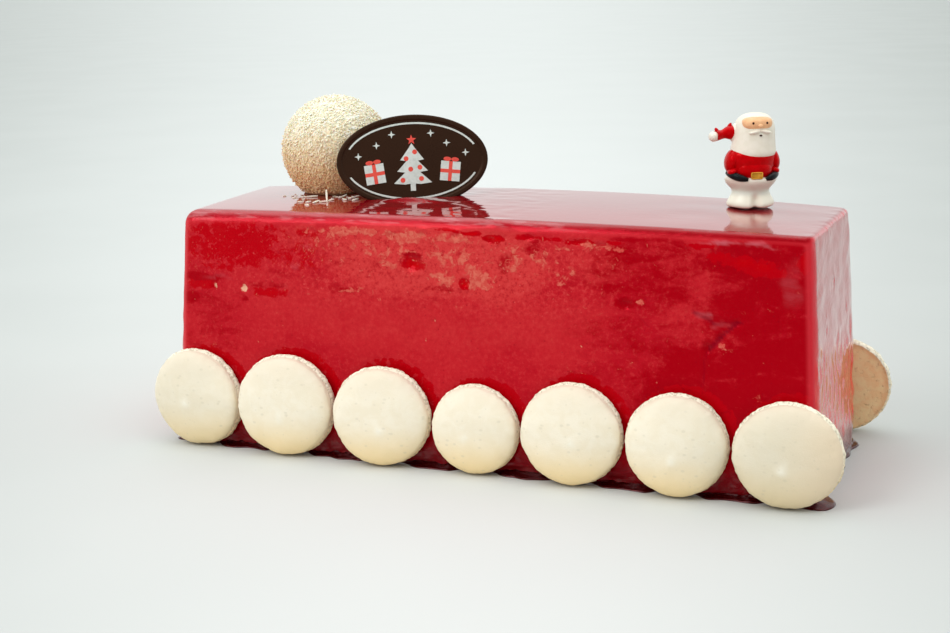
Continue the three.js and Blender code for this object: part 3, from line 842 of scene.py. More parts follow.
def bakeShell(piece, seed):
    # the ruffled foot, the uneven dome with its small nub, and the pitted flat side
    places = readPlaces(piece)
    x, y, height = places.T
    radius = np.maximum(np.hypot(x, y), 1e-6)
    outward = np.column_stack([x / radius, y / radius, np.zeros(len(x))])
    isFlat = (height < 1) & (radius < shells["flatRadius"] + 0.6)
    foot = smoothStep(radius, 17.3, 18.3) * (1 - smoothStep(height, 3.1, 3.7))
    dome = smoothStep(height, 3.6, 4.4)
    ruffle = 0.26 * lumps(places, 1.15, seed) + 0.30 * lumps(places, 3.4, seed + 1) - 0.34
    ruffle -= 0.35 * smoothStep(lumps(places, 0.95, seed + 2), 0.25, 0.6)
    edge = 0.36 * lumps(places * (1, 1, 0.3), 6.5, seed + 3) + 0.24 * lumps(places, 2.0, seed + 4) - 0.38
    places = places + outward * (foot * ruffle + dome * smoothStep(radius, 9, 18) * edge)[:, None]
    nubX, nubY = 2.2 * math.cos(seed * 2.4), -2.4 + 1.2 * math.sin(seed * 1.7)
    nub = np.exp(-((x - nubX) ** 2 + (y - nubY) ** 2) / 2.6)
    paintField(piece, "nub", nub * dome)
    lift = 0.24 * lumps(places, 7, seed + 5) + 0.09 * lumps(places, 2.4, seed + 6)
    lift = dome * (lift + 0.50 * nub - 0.20)
    lift += foot * 0.18 * lumps(places, 1.6, seed + 7)
    lift += isFlat * (0.22 * np.abs(lumps(places, 1.4, seed + 8)) + 0.05)
    places[:, 2] += lift
    return places


def placeShell(piece, spot, side, seed):
    x, radius, oval, ovalTurn, turn = spot
    scale = radius / shells["radius"]
    standOff = shells["backStandOff"] if side > 0 else 0
    leanOf = log["leanBack"] if side > 0 else log["leanFront"]
    lean = math.atan2(leanOf * riseShare(2 * radius) + standOff, 2 * radius)
    swing = radius * abs(math.sin(math.radians(turn)))
    places = bakeShell(piece, seed) * scale
    local = Matrix.Rotation(math.radians(-90 * side), 3, "X")
    stretch = Matrix.Rotation(math.radians(ovalTurn), 3, "Y") @ Matrix.Diagonal((oval, 1, 1))
    stretch = stretch.to_3x3() @ Matrix.Rotation(math.radians(-ovalTurn), 3, "Y")
    turning = Matrix.Rotation(math.radians(turn), 3, "Z") @ Matrix.Rotation(side * lean, 3, "X")
    places = places @ np.array(turning @ stretch @ local).T
    places += (x, side * (log["width"] / 2 + shells["gap"] + standOff + swing), 0)
    places[:, 2] -= places[:, 2].min()
    writePlaces(piece, places)


def makeMacaronMaterials():
    # the dome: smooth, with fine dark specks, and painted warm bounce light towards the bottom
    dome, tree, shader, place = newMaterial(
        "macaronDome", Roughness=0.62, Specular_IOR_Level=0.35, Sheen_Weight=0.08, Sheen_Roughness=0.5)
    height = addAxis(tree, place)
    cream = addMix(tree, addRange(tree, addNoise(tree, place, 5, 4, 0.6, 0.5), 0.38, 0.62),
                   colour(0.93, 0.85, 0.69), colour(0.905, 0.815, 0.64))
    warmBounce = addRange(tree, height, 0, 20 * mm, 0.85, 0.0)
    shade = addMix(tree, warmBounce, cream, colour(0.97, 0.72, 0.34))
    along = addAxis(tree, place, "X")
    # painted warm reflected light on the shells at the right end
    shade = addMix(tree, addRange(tree, along, 110 * mm, 136 * mm, 0.0, 0.8), shade, colour(1.0, 0.74, 0.50))
    # painted shade on the shells towards both ends
    ends = addMath(tree, "ADD", addRange(tree, along, 70 * mm, 112 * mm, 0.0, 0.47),
                   addRange(tree, along, -116 * mm, -90 * mm, 0.26, 0.0))
    shade = addMix(tree, ends, shade, colour(0.62, 0.55, 0.40))
    # a painted highlight on each nub
    shade = addMix(tree, addTimes(tree, addAttribute(tree, "nub"), 0.7), shade, colour(1.0, 0.96, 0.84))
    # painted shade on the upper part of the dome
    shade = addMix(tree, addRange(tree, height, 24 * mm, 37 * mm, 0.0, 0.62), shade, colour(0.78, 0.68, 0.53))
    specks = addScaled(tree, addSpots(tree, addMapping(tree, place, (1, 1, 1.5)), 3.4, 0.75, 0.35), 0.5,
                     addTimes(tree, addSpots(tree, place, 2.2, 0.36, 0.35), 0.4))
    shade = addMix(tree, addTimes(tree, specks, 0.5), shade, colour(0.58, 0.52, 0.38))
    tree.links.new(shade, shader.inputs["Base Color"])
    grain = addMath(tree, "ADD", addNoise(tree, place, 0.5, 3, 0.6), addNoise(tree, place, 2.5, 3, 0.6))
    addBump(tree, shader, grain, 0.13, 0.7)
    # the foot: paler, full of small pores
    foot, tree, shader, place = newMaterial("macaronFoot", Roughness=0.75, Specular_IOR_Level=0.25)
    pores = addRange(tree, addNoise(tree, place, 1.0, 2, 0.6), 0.50, 0.60)
    shade = addMix(tree, addNoise(tree, place, 2.4, 2), colour(0.99, 0.94, 0.78), colour(0.95, 0.87, 0.68))
    # painted warm bounce light towards the bottom
    warmBounce = addRange(tree, addAxis(tree, place), 2 * mm, 26 * mm, 0.85, 0.0)
    shade = addMix(tree, warmBounce, shade, colour(0.93, 0.64, 0.32))
    shade = addMix(tree, addTimes(tree, pores, 0.6), shade, colour(0.52, 0.46, 0.32))
    tree.links.new(shade, shader.inputs["Base Color"])
    addBump(tree, shader, addMath(tree, "SUBTRACT", addNoise(tree, place, 0.9, 2), pores), 0.18, 0.7)
    # the flat side that lay on the baking sheet: tan and dull
    flat, tree, shader, place = newMaterial("macaronFlat", Roughness=0.8, Specular_IOR_Level=0.2)
    shade = addMix(tree, addRange(tree, addNoise(tree, place, 3.2, 3), 0.35, 0.65), colour(1.0, 0.76, 0.42),
                   colour(0.98, 0.66, 0.34))
    pores = addRange(tree, addNoise(tree, place, 1.5, 3, 0.6), 0.56, 0.70)
    shade = addMix(tree, addTimes(tree, pores, 0.5), shade, colour(0.60, 0.34, 0.16))
    tree.links.new(shade, shader.inputs["Base Color"])
    addBump(tree, shader, addMath(tree, "SUBTRACT", addNoise(tree, place, 1.1, 2), pores), 0.2, 0.7)
    return dome, foot, flat


def zoneShell(piece):
    # dome, foot and flat side, by their place on the stock
    for face in piece.data.polygons:
        middle = face.center / mm
        if middle.z < 0.5 and math.hypot(middle.x, middle.y) < 17.9:
            face.material_index = 2
        elif middle.z < shells["grooveHeight"]:
            face.material_index = 1


shellStock = makeShellStock()
giveMaterials(shellStock, *makeMacaronMaterials())
zoneShell(shellStock)
for row, side in (("front", -1), ("back", 1)):
    for number, spot in enumerate(shells[row], 1):
        shell = ownCopy(shellStock, f"macaron_{row}_{number}")
        placeShell(shell, spot, side, number + (20 if side > 0 else 0))
        standFor(shell, "macaron", f"shell_{row}_{number}")
bpy.data.objects.remove(shellStock)
print("macaron shells made")


plaque = {
    "halfLength": 29.4, "halfHeight": 17.9, "thick": 2.6, "recess": 0.5, "sides": 128,
    "x": -38.7, "y": 2.35, "middleHeight": 14.2, "turn": 21.8, "leanBack": 11.4, "tilt": 1.2,
    # inset from the oval and height, from the flat back over the rounded rim to the face
    "profile": (
        (1.2, 0), (0.55, 0.04), (0.2, 0.2), (0.03, 0.5), (0, 0.8), (0, 1.8), (0.03, 2.1), (0.2, 2.4),
        (0.5, 2.57), (0.8, 2.6), (1.5, 2.6), (1.75, 2.56), (1.95, 2.38), (2.1, 2.18), (2.35, 2.1),
        (3.2, 2.1)),
    "printThick": 0.14,
}
plaqueFrame = (
    Matrix.Translation((plaque["x"], plaque["y"], float(topAt(plaque["x"], plaque["y"]))))
    @ Matrix.Rotation(math.radians(plaque["turn"]), 4, "Z")
    @ Matrix.Rotation(math.radians(-plaque["leanBack"]), 4, "X")
    @ Matrix.Translation((0, 0, plaque["middleHeight"]))
    @ Matrix.Rotation(math.radians(90), 4, "X")
    @ Matrix.Rotation(math.radians(plaque["tilt"]), 4, "Z"))


def makePlaque():
    piece = turnedForm("chocolatePlaque", [(1 - 0.01 * i, h) for i, (_, h) in enumerate(plaque["profile"])],
                       plaque["sides"])
    places = readPlaces(piece)
    for i in range(len(places)):
        inset, height = plaque["profile"][i // plaque["sides"]]
        angle = math.atan2(places[i, 1], places[i, 0])
        places[i] = (
            (plaque["halfLength"] - inset) * math.cos(angle),
            (plaque["halfHeight"] - inset) * math.sin(angle), height - plaque["thick"] / 2)
    writePlaces(piece, places)
    finishMesh(piece, 50)
    movePiece(piece, plaqueFrame)
    return piece


def makeChocolate():
    material, tree, shader, place = newMaterial(
        "darkChocolate", Roughness=0.24, Specular_IOR_Level=0.22, Specular_Tint=colour(1, 0.62, 0.42))
    light, dark = colour(0.027, 0.0110, 0.0060), colour(0.020, 0.0080, 0.0044)
    shade = addMix(tree, addNoise(tree, place, 12, 3), light, dark)
    tree.links.new(shade, shader.inputs["Base Color"])
    dull = addRange(tree, addNoise(tree, place, 5, 3), 0.3, 0.7, 0.22, 0.34)
    tree.links.new(dull, shader.inputs["Roughness"])
    addBump(tree, shader, addNoise(tree, place, 3, 3), 0.03, 0.5)
    return material


def flatShape(corners, name, lift=0.0):
    # a thin raised print with the given outline, drawn from a disc in the plaque's own frame
    deselectAll()
    face = plaque["thick"] / 2 - plaque["recess"] + lift
    bpy.ops.mesh.primitive_circle_add(vertices=len(corners), radius=mm, fill_type="NGON")
    piece = bpy.context.object
    piece.name = piece.data.name = name
    writePlaces(piece, np.array([(x, y, face - 0.03) for x, y in corners]))
    bpy.ops.object.mode_set(mode="EDIT")
    bpy.ops.mesh.select_all(action="SELECT")
    bpy.ops.mesh.extrude_region_move(TRANSFORM_OT_translate={"value": (0, 0, plaque["printThick"] * mm)})
    bpy.ops.object.mode_set(mode="OBJECT")
    return piece


def ovalCorners(x, y, halfX, halfY, count):
    return [(x + halfX * math.cos(2 * math.pi * i / count), y + halfY * math.sin(2 * math.pi * i / count))
            for i in range(count)]


def arcCorners(start, end, inset, width, count):
    # a thin line along the oval, from one angle to another in degrees
    def edge(more, first, last):
        corners = []
        for i in range(count + 1):
            angle = math.radians(first + (last - first) * i / count)
            corners.append(((plaque["halfLength"] - inset - more) * math.cos(angle),
                            (plaque["halfHeight"] - inset - more) * math.sin(angle)))
        return corners
    return edge(0, start, end) + edge(width, end, start)


def starCorners(x, y, outer, inner, points):
    corners = []
    for i in range(2 * points):
        reach = outer if i % 2 == 0 else inner
        angle = math.pi * i / points
        corners.append((x + reach * math.sin(angle), y + reach * math.cos(angle)))
    return corners


def turnedCorners(corners, x, y, turn):
    sine, cosine = math.sin(math.radians(turn)), math.cos(math.radians(turn))
    return [(x + u * cosine - v * sine, y + u * sine + v * cosine) for u, v in corners]


def firTier(x, y, half, height):
    return [(x - half, y), (x - 0.42 * half, y - 0.5), (x, y - 0.1), (x + 0.42 * half, y - 0.5),
            (x + half, y), (x + 0.25 * half, y + 0.72 * height), (x, y + height),
            (x - 0.25 * half, y + 0.72 * height)]


plaquePrint = {
    "lines": ((22, 158), (202, 338)), "lineInset": 3.0, "lineWidth": 0.7, "lineSteps": 40,
    # foot, half width, height and lift of each tier of the fir
    "tiers": ((-8.6, 7.4, 7.2, 0.02), (-4.0, 6.0, 6.6, 0.04), (0.4, 4.6, 6.4, 0.06)),
    "trunk": ((-1, -11.6), (1, -11.6), (1, -8), (-1, -8)), "bauble": 0.95,
    "baubles": ((-3.9, -7.4), (3.3, -7.0), (-0.7, -3.2), (2.9, -2.6), (-2.3, 0.9), (1.1, 3.4)),
    "starHeight": 8.1, "star": (2.0, 0.85, 5), "sparkle": (1.5, 0.5, 4),  # outer and inner reach, points
    "sparkles": ((-20.8, 2.4), (20.8, 2.4), (-13.6, 6.4), (13.6, 6.4), (-7.6, 10.4), (7.6, 10.4)),
    "gifts": ((-14.6, 7), (14.6, -7)), "giftHeight": -4.6, "giftHalf": 3.8, "ribbonHalf": 0.7,
    "bow": (1.5, 4.6, 1.5, 0.85),  # place and half sizes of one loop
}


def boxCorners(halfX, halfY):
    return [(-halfX, -halfY), (halfX, -halfY), (halfX, halfY), (-halfX, halfY)]


def makeGift(x, turn, white, red):
    half, ribbon = plaquePrint["giftHalf"], plaquePrint["ribbonHalf"]
    bowX, bowY, halfX, halfY = plaquePrint["bow"]
    for pieces, corners, lift in (
            (white, boxCorners(half, half), 0.02), (red, boxCorners(ribbon, half), 0.02),
            (red, boxCorners(half, ribbon), 0.04), (red, ovalCorners(-bowX, bowY, halfX, halfY, 14), 0.06),
            (red, ovalCorners(bowX, bowY, halfX, halfY, 14), 0.08)):
        pieces.append(flatShape(turnedCorners(corners, x, plaquePrint["giftHeight"], turn), "gift", lift))


def makePrint():
    # a fir in the middle, a gift on each side, small stars and a line along the rim above and below
    white, red = [], []
    for start, end in plaquePrint["lines"]:
        corners = arcCorners(
            start, end, plaquePrint["lineInset"], plaquePrint["lineWidth"], plaquePrint["lineSteps"])
        white.append(flatShape(corners, "line"))
    for y, half, height, lift in plaquePrint["tiers"]:
        white.append(flatShape(firTier(0, y, half, height), "tier", lift))
    white.append(flatShape(plaquePrint["trunk"], "trunk", 0.01))
    size = plaquePrint["bauble"]
    for x, y in plaquePrint["baubles"]:
        red.append(flatShape(ovalCorners(x, y, size, size, 14), "bauble", 0.06))
    red.append(flatShape(starCorners(0, plaquePrint["starHeight"], *plaquePrint["star"]), "star"))
    for x, turn in plaquePrint["gifts"]:
        makeGift(x, turn, white, red)
    for x, y in plaquePrint["sparkles"]:
        white.append(flatShape(starCorners(x, y, *plaquePrint["sparkle"]), "sparkle"))
    snow = joinPieces(white, "plaquePrintSnow")
    berry = joinPieces(red, "plaquePrintRed")
    places = readPlaces(berry)
    places[:, 2] += 0.03
    writePlaces(berry, places)
    for piece in (snow, berry):
        finishMesh(piece, 30)
        movePiece(piece, plaqueFrame)
    return snow, berry


def makePrintMaterial(name, light, dark):
    material, tree, shader, place = newMaterial(name, Roughness=0.45, Specular_IOR_Level=0.35)
    worn = addNoise(tree, place, 1.6, 4, 0.65)
    tree.links.new(addMix(tree, addRange(tree, worn, 0.4, 0.7), colour(*light), colour(*dark)),
                   shader.inputs["Base Color"])
    addBump(tree, shader, worn, 0.02, 0.4)
    return material


chocolatePlaque = makePlaque()
giveMaterials(chocolatePlaque, makeChocolate())
standFor(chocolatePlaque, "chocolate", "plaque")
printSnow, printRed = makePrint()
giveMaterials(printSnow, makePrintMaterial("printSnow", (0.66, 0.72, 0.68), (0.55, 0.61, 0.57)))
giveMaterials(printRed, makePrintMaterial("printRed", (0.80, 0.085, 0.055), (0.68, 0.060, 0.045)))
standFor(printSnow, "chocolate")
standFor(printRed, "chocolate")
print("plaque made")


coconut = {
    "x": -78.2, "y": 16.3, "radius": 22, "sunk": 5.3, "coreShare": 0.966,
    "grains": 8800, "grainLength": 1.25, "grainWidth": 0.46, "grainThick": 0.32, "seed": 4,
    "goldenAngle": 2.399963, "crumbs": 26, "crumbSeed": 11,
}
# x, y, length, turn and rise of each loose shred
shreds = [
    (-81.6, -1, 5, 14, 4), (-72.4, -5.4, 5, 118, 42), (-69.2, -7.8, 2.6, 70, 5), (-73.4, -12.4, 3.4, 75, 8),
    (-70.9, -11.2, 3, 25, 5), (-74.6, -17.8, 2.6, -35, 0), (-76.7, -12.6, 2.2, 60, 5),
    (-80.2, -12.4, 2.2, 40, 0), (-67.4, -1.4, 3.6, 60, 12), (-61.8, -2.6, 4.6, 40, 12),
    (-59.6, -6, 3.2, 75, 5), (-64.6, -5.4, 2.4, 150, 0),
]


def makeGrain(cuts):
    # one shred of unit length: a cut strip, thinner at its ends and curled
    deselectAll()
    bpy.ops.mesh.primitive_cube_add(size=1)
    grain = bpy.context.object
    bpy.ops.object.mode_set(mode="EDIT")
    bpy.ops.mesh.select_mode(type="EDGE")
    bpy.ops.mesh.select_all(action="DESELECT")
    selectEdgesAlong(0)
    bpy.ops.mesh.subdivide(number_cuts=cuts)
    bpy.ops.object.mode_set(mode="OBJECT")
    bm = bmesh.new()
    bm.from_mesh(grain.data)
    bmesh.ops.triangulate(bm, faces=bm.faces)
    bmesh.ops.recalc_face_normals(bm, faces=bm.faces)
    corners = np.array([v.co for v in bm.verts])
    faces = [[v.index for v in face.verts] for face in bm.faces]
    bm.free()
    bpy.data.objects.remove(grain)
    taper = 1 - 0.3 * (2 * np.abs(corners[:, 0])) ** 2
    corners[:, 1] *= taper
    corners[:, 2] *= taper
    return corners, np.array(faces)


def scatterGrains(name, grain, spots):
    # every spot is (place, along, outward, length, width, thick, curl): the shred copied into one mesh
    corners, faces = grain
    places, triangles = [], []
    for place, along, outward, length, width, thick, curl in spots:
        across = outward.cross(along).normalized()
        turned = np.column_stack([along, across, along.cross(across)])
        shape = corners * (length, width, thick)
        shape[:, 2] -= curl * (corners[:, 0] * 2) ** 2
        triangles.append(faces + len(corners) * len(places))
        places.append(shape @ turned.T + np.array(place))
    mesh = bpy.data.meshes.new(name)
    mesh.from_pydata((np.concatenate(places) * mm).tolist(), [], np.concatenate(triangles).tolist())
    piece = bpy.data.objects.new(name, mesh)
    bpy.context.scene.collection.objects.link(piece)
    finishMesh(piece, 40)
    return piece


def clearOfPlaque(place, margin):
    local = plaqueFrame.inverted() @ Vector(place)
    across = math.hypot(local.x / (plaque["halfLength"] + margin), local.y / (plaque["halfHeight"] + margin))
    return abs(local.z) > plaque["thick"] / 2 + margin or across > 1


def makeCoconutBall():
    middle = Vector((coconut["x"], coconut["y"],
                     float(topAt(coconut["x"], coconut["y"])) + coconut["radius"] - coconut["sunk"]))
    deselectAll()
    bpy.ops.mesh.primitive_ico_sphere_add(
        subdivisions=6, radius=coconut["radius"] * coconut["coreShare"] * mm, location=middle * mm)
    core = bpy.context.object
    core.name = core.data.name = "coconutCore"
    bpy.ops.object.transform_apply(location=True)
    places = readPlaces(core)
    outward = (places - np.array(middle)) / (coconut["radius"] * coconut["coreShare"])
    rough = 0.35 * lumps(places, 1.5, 5) + 0.25 * lumps(places, 5, 6)
    places = places + outward * rough[:, None]
    places[:, 2] = np.maximum(places[:, 2], topAt(places[:, 0], places[:, 1]) + 0.05)
    writePlaces(core, places)
    finishMesh(core, 80)
    dice = random.Random(coconut["seed"])
    spots = []
    for i in range(coconut["grains"]):
        height = 1 - 2 * (i + 0.5) / coconut["grains"]
        angle = i * coconut["goldenAngle"] + dice.uniform(-0.02, 0.02)
        level = math.sqrt(1 - height * height)
        out = Vector((level * math.cos(angle), level * math.sin(angle), height))
        out = (out + Vector([dice.uniform(-0.03, 0.03) for _ in range(3)])).normalized()
        along = out.orthogonal().normalized()
        along.rotate(Matrix.Rotation(dice.uniform(0, 2 * math.pi), 3, out))
        rise = math.radians(dice.choice((3, 8, 14, 24, 38)) + dice.uniform(-3, 4))
        along = (along * math.cos(rise) + out * math.sin(rise)).normalized()
        length = coconut["grainLength"] * dice.uniform(0.6, 1.25)
        lift = coconut["radius"] - 0.62 + 0.32 * length * math.sin(rise) + dice.uniform(-0.15, 0.2)
        place = middle + out * lift
        width = coconut["grainWidth"] * dice.uniform(0.7, 1.3)
        thick = coconut["grainThick"] * dice.uniform(0.7, 1.3)
        curl = dice.uniform(-0.15, 0.3)
        if place.z < float(topAt(place.x, place.y)) + 1.0 or not clearOfPlaque(place, 1.15):
            continue
        spots.append((place, along, out, length, width, thick, curl))
    grains = scatterGrains("coconutGrains", makeGrain(1), spots)
    return core, grains


def makeLooseShreds():
    dice = random.Random(coconut["crumbSeed"])
    spots = []
    for x, y, length, turn, rise in shreds:
        heading, up = math.radians(turn), math.radians(rise)
        along = Vector((math.cos(heading) * math.cos(up), math.sin(heading) * math.cos(up), math.sin(up)))
        lift = 0.25 + (length / 2) * math.sin(up) * 0.86
        spots.append((Vector((x, y, float(topAt(x, y)) + lift)), along, Vector((0, 0, 1)), length * 1.1,
                      dice.uniform(0.6, 0.85), dice.uniform(0.4, 0.55), dice.uniform(-0.05, 0.1)))
    for _ in range(coconut["crumbs"]):  # crumbs round the foot of the ball
        angle = math.radians(dice.uniform(-140, -15))
        reach = dice.uniform(16.2, 23)
        x = coconut["x"] + reach * math.cos(angle)
        y = coconut["y"] + reach * math.sin(angle)
        place = Vector((x, y, float(topAt(x, y)) + 0.2))
        heading = dice.uniform(0, math.pi)
        if clearOfPlaque(place, 1.2):
            spots.append((place, Vector((math.cos(heading), math.sin(heading), 0)), Vector((0, 0, 1)),
                          dice.uniform(0.7, 1.7), dice.uniform(0.3, 0.5), dice.uniform(0.28, 0.42), 0.0))
    return scatterGrains("looseCoconut", makeGrain(4), spots)


def makeCoconutMaterial(name, light, dark, low):
    material, tree, shader, place = newMaterial(
        name, Roughness=0.6, Specular_IOR_Level=0.35, Subsurface_Weight=0.12, Subsurface_Scale=0.0015)
    uneven = addRange(tree, addNoise(tree, place, 1.6, 2), 0.35, 0.65)
    shade = addMix(tree, uneven, colour(*light), colour(*dark))
    # tan towards the foot: partly its own colour, partly painted shade and painted reflection of the red
    # glaze
    lowTanAndShade = addRange(tree, addAxis(tree, place), 97 * mm, 127 * mm, 0.9, 0.0)
    shade = addMix(tree, lowTanAndShade, shade, colour(*low))
    tree.links.new(shade, shader.inputs["Base Color"])
    addBump(tree, shader, addNoise(tree, place, 0.5, 2), 0.06, 0.5)
    return material


ballCore, ballGrains = makeCoconutBall()
giveMaterials(ballCore, makeCoconutMaterial(
    "coconutCore", (0.93, 0.86, 0.70), (0.86, 0.76, 0.56), (0.76, 0.49, 0.22)))
giveMaterials(ballGrains, makeCoconutMaterial(
    "coconutGrain", (0.98, 0.95, 0.85), (0.89, 0.82, 0.61), (0.92, 0.65, 0.34)))
standFor(ballCore, "coconut", "coconut_ball")
standFor(ballGrains, "coconut", "coconut_ball")
looseCoconut = makeLooseShreds()
giveMaterials(looseCoconut, makeCoconutMaterial(
    "looseCoconut", (0.98, 0.94, 0.84), (0.92, 0.84, 0.70), (0.98, 0.90, 0.76)))
standFor(looseCoconut, "coconut", "cake_log")
print("coconut ball and shreds made")


topper = {"x": 90.3, "y": 14.3, "turn": 29.5, "lift": 0.1}
topperFrame = (
    Matrix.Translation((topper["x"], topper["y"], float(topAt(topper["x"], topper["y"])) + topper["lift"]))
    @ Matrix.Rotation(math.radians(topper["turn"]), 4, "Z"))


def roundForm(name, middle, halves, turn=0, square=1.0):
    # a moulded pebble: a ball pressed to its three half sizes, made squarer, and leaned about Y
    deselectAll()
    bpy.ops.mesh.primitive_uv_sphere_add(segments=48, ring_count=28, radius=1)
    piece = bpy.context.object
    piece.name = piece.data.name = name
    places = readPlaces(piece) * mm
    places = np.sign(places) * np.abs(places) ** square * halves
    lean = np.array(Matrix.Rotation(math.radians(turn), 3, "Y"))
    writePlaces(piece, places @ lean.T + middle)
    return piece


def bodyForm(name, profile, depth, offset=(0, 0), wave=0):
    # a turned body pressed flatter from front to back
    piece = turnedForm(name, profile, 64)
    places = readPlaces(piece)
    places[:, 1] *= depth
    places[:, 0] += offset[0]
    places[:, 1] += offset[1]
    if wave:  # the hem or edge dips in the middle of the front
        places[:, 2] += wave * (np.abs(places[:, 0]) / 9) ** 2 * smoothStep(-places[:, 1], -2, 4)
    writePlaces(piece, places)
    return piece


def tubeForm(name, stops, sides=24):
    # a bent tube with its own radius at each stop
    line = bpy.data.curves.new(name, "CURVE")
    line.dimensions = "3D"
    line.bevel_depth = mm
    line.bevel_resolution = sides // 4
    line.use_fill_caps = True
    line.resolution_u = 8
    spline = line.splines.new("NURBS")
    spline.points.add(len(stops) - 1)
    for point, (x, y, z, radius) in zip(spline.points, stops):
        point.co = (x * mm, y * mm, z * mm, 1)
        point.radius = radius
    spline.use_endpoint_u = True
    spline.order_u = 4
    piece = bpy.data.objects.new(name, line)
    bpy.context.scene.collection.objects.link(piece)
    activate(piece)
    bpy.ops.object.convert(target="MESH")
    return bpy.context.object


def smoothed(piece, levels=1):
    activate(piece)
    modifier = piece.modifiers.new("rounding", "SUBSURF")
    modifier.levels = modifier.render_levels = levels
    bpy.ops.object.modifier_apply(modifier=modifier.name)
    return piece


def mouldBody(white, red, black, gold):
    # boots and skirt in one flowing form, parted below
    legs = bodyForm("legs", [
        (7.4, 0.15), (8.3, 0.5), (8.7, 1.2), (8.6, 2.1), (8.05, 3.3), (7.2, 4.6), (6.75, 5.8), (6.85, 6.6),
        (7.4, 7.4), (8.4, 8.3), (9.15, 9.2), (9.5, 10.1), (9.5, 10.8), (9.1, 11.4),
        (7.5, 11.8)], 0.86, wave=0.5)
    places = readPlaces(legs)
    parting = np.exp(-(places[:, 0] / 1.4) ** 2) * (1 - smoothStep(places[:, 2], 3.2, 6.0))
    places[:, 1] *= 1 - 0.32 * parting
    places[:, 2] += 0.5 * np.exp(-(places[:, 0] / 2.0) ** 2) * (1 - smoothStep(places[:, 2], 0.4, 1.4))
    writePlaces(legs, places)
    white.append(smoothed(legs))
    red.append(smoothed(bodyForm("coat", [
        (6.8, 10.8), (8.0, 11.2), (8.5, 12.2), (8.6, 13.6), (8.8, 15.2), (9.1, 17.0), (9.1, 18.8),
        (8.6, 20.3), (7.2, 21.4), (4.6, 22)], 0.84, wave=0.5)))
    for side in (-1, 1):
        red.append(roundForm("arm", (7.7 * side, -1.0, 17.2), (2.4, 3.9, 4.2), -10 * side))
        red.append(roundForm("cuff", (7.8 * side, -2.8, 13.9), (1.9, 2.6, 1.3), 24 * side))
        black.append(tubeForm("mitt", [
            (8.9 * side, -0.8, 13.0, 0.9), (8.3 * side, -3.4, 12.5, 1.35), (6.8 * side, -5.5, 11.9, 1.45),
            (5.0 * side, -6.8, 11.4, 1.25), (3.3 * side, -7.5, 11.1, 0.6)]))
    red.append(roundForm("coatFront", (0, -4.4, 14.4), (6.4, 3.5, 4.1)))
    buckleX, buckleZ = -0.2, 12.5
    gold.append(roundForm("buckle", (buckleX, -7.6, buckleZ), (1.8, 0.45, 0.95), 0, 0.7))
    for x, z, halfX, halfZ in (
            (0, 1, 2.15, 0.3), (0, -1, 2.15, 0.3), (-1.9, 0, 0.3, 1.2), (1.9, 0, 0.3, 1.2)):
        gold.append(roundForm("buckleBar", (buckleX + x, -7.85, buckleZ + z), (halfX, 0.4, halfZ), 0, 0.8))


def mouldHead(white, skin, dark):
    # beard and head as one soft form that leans to one side, with the hair rolled over the face
    headX = 1.2
    beard = bodyForm("beard", [
        (4.0, 18.0), (6.9, 18.2), (8.1, 18.9), (8.4, 20.2), (8.1, 22.0), (7.75, 24.0), (7.5, 26.0),
        (7.3, 28.0), (7.0, 29.8), (6.6, 31.1), (6.0, 32.2), (5.0, 33.2), (3.5, 34.0),
        (1.8, 34.3)], 0.88, (0, -0.4))
    places = readPlaces(beard)
    places[:, 0] += headX * (0.4 + 0.6 * smoothStep(places[:, 2], 19, 31))
    writePlaces(beard, places)
    white.append(smoothed(beard))
    for side in (-1, 1):
        white.append(roundForm("moustache", (headX + 1.9 * side, -6.5, 28.0), (2.3, 1.0, 0.7), 12 * side))
    skin.append(roundForm("face", (headX - 0.3, -2.6, 30.8), (5.5, 4.7, 2.5), 0, 0.75))
    skin.append(roundForm("nose", (headX - 0.2, -7.2, 30.1), (0.9, 0.6, 0.75)))
    for side in (-1, 1):
        dark.append(roundForm("eye", (headX - 0.3 + 2.5 * side, -6.9, 31.1), (0.42, 0.4, 0.48)))
    dark.append(roundForm("mouth", (headX, -7.1, 26.7), (0.55, 0.35, 0.3)))


def mouldHat(white, red):
    # pulled back over the head, its red tail hanging out to one side with a pompom
    white.append(roundForm("hatBack", (1.2, 2.6, 29.6), (6.5, 4.6, 4.5)))
    white.append(roundForm("hatBand", (-5.4, 2.3, 27.0), (2.1, 2.8, 3.5), 8))
    red.append(tubeForm("hatTail", [
        (-5.0, 2.5, 27.2, 2.4), (-7.3, 2.3, 27.2, 2.8), (-8.8, 2.2, 27.0, 2.1), (-10.2, 2.0, 26.6, 1.45),
        (-11.6, 1.8, 26.4, 1.9), (-12.6, 1.7, 26.4, 2.1)]))
    red.append(roundForm("hatFold", (-7.7, 2.3, 29.0), (0.8, 0.9, 1.8), 26))
    red.append(roundForm("hatFold", (-12.3, 1.7, 28.0), (0.7, 0.8, 1.3), -34))
    white.append(roundForm("pompom", (-13.6, 1.4, 26.0), (1.85, 1.85, 1.85)))


def makeTopper():
    white, red, black, gold, skin, dark = [], [], [], [], [], []
    mouldBody(white, red, black, gold)
    mouldHead(white, skin, dark)
    mouldHat(white, red)
    named = (("topperWhite", white), ("topperRed", red), ("topperBlack", black), ("topperGold", gold),
             ("topperSkin", skin), ("topperFace", dark))
    made = {}
    for name, parts in named:
        piece = joinPieces(parts, name)
        finishMesh(piece, 60)
        movePiece(piece, topperFrame)
        made[name] = piece
    return made


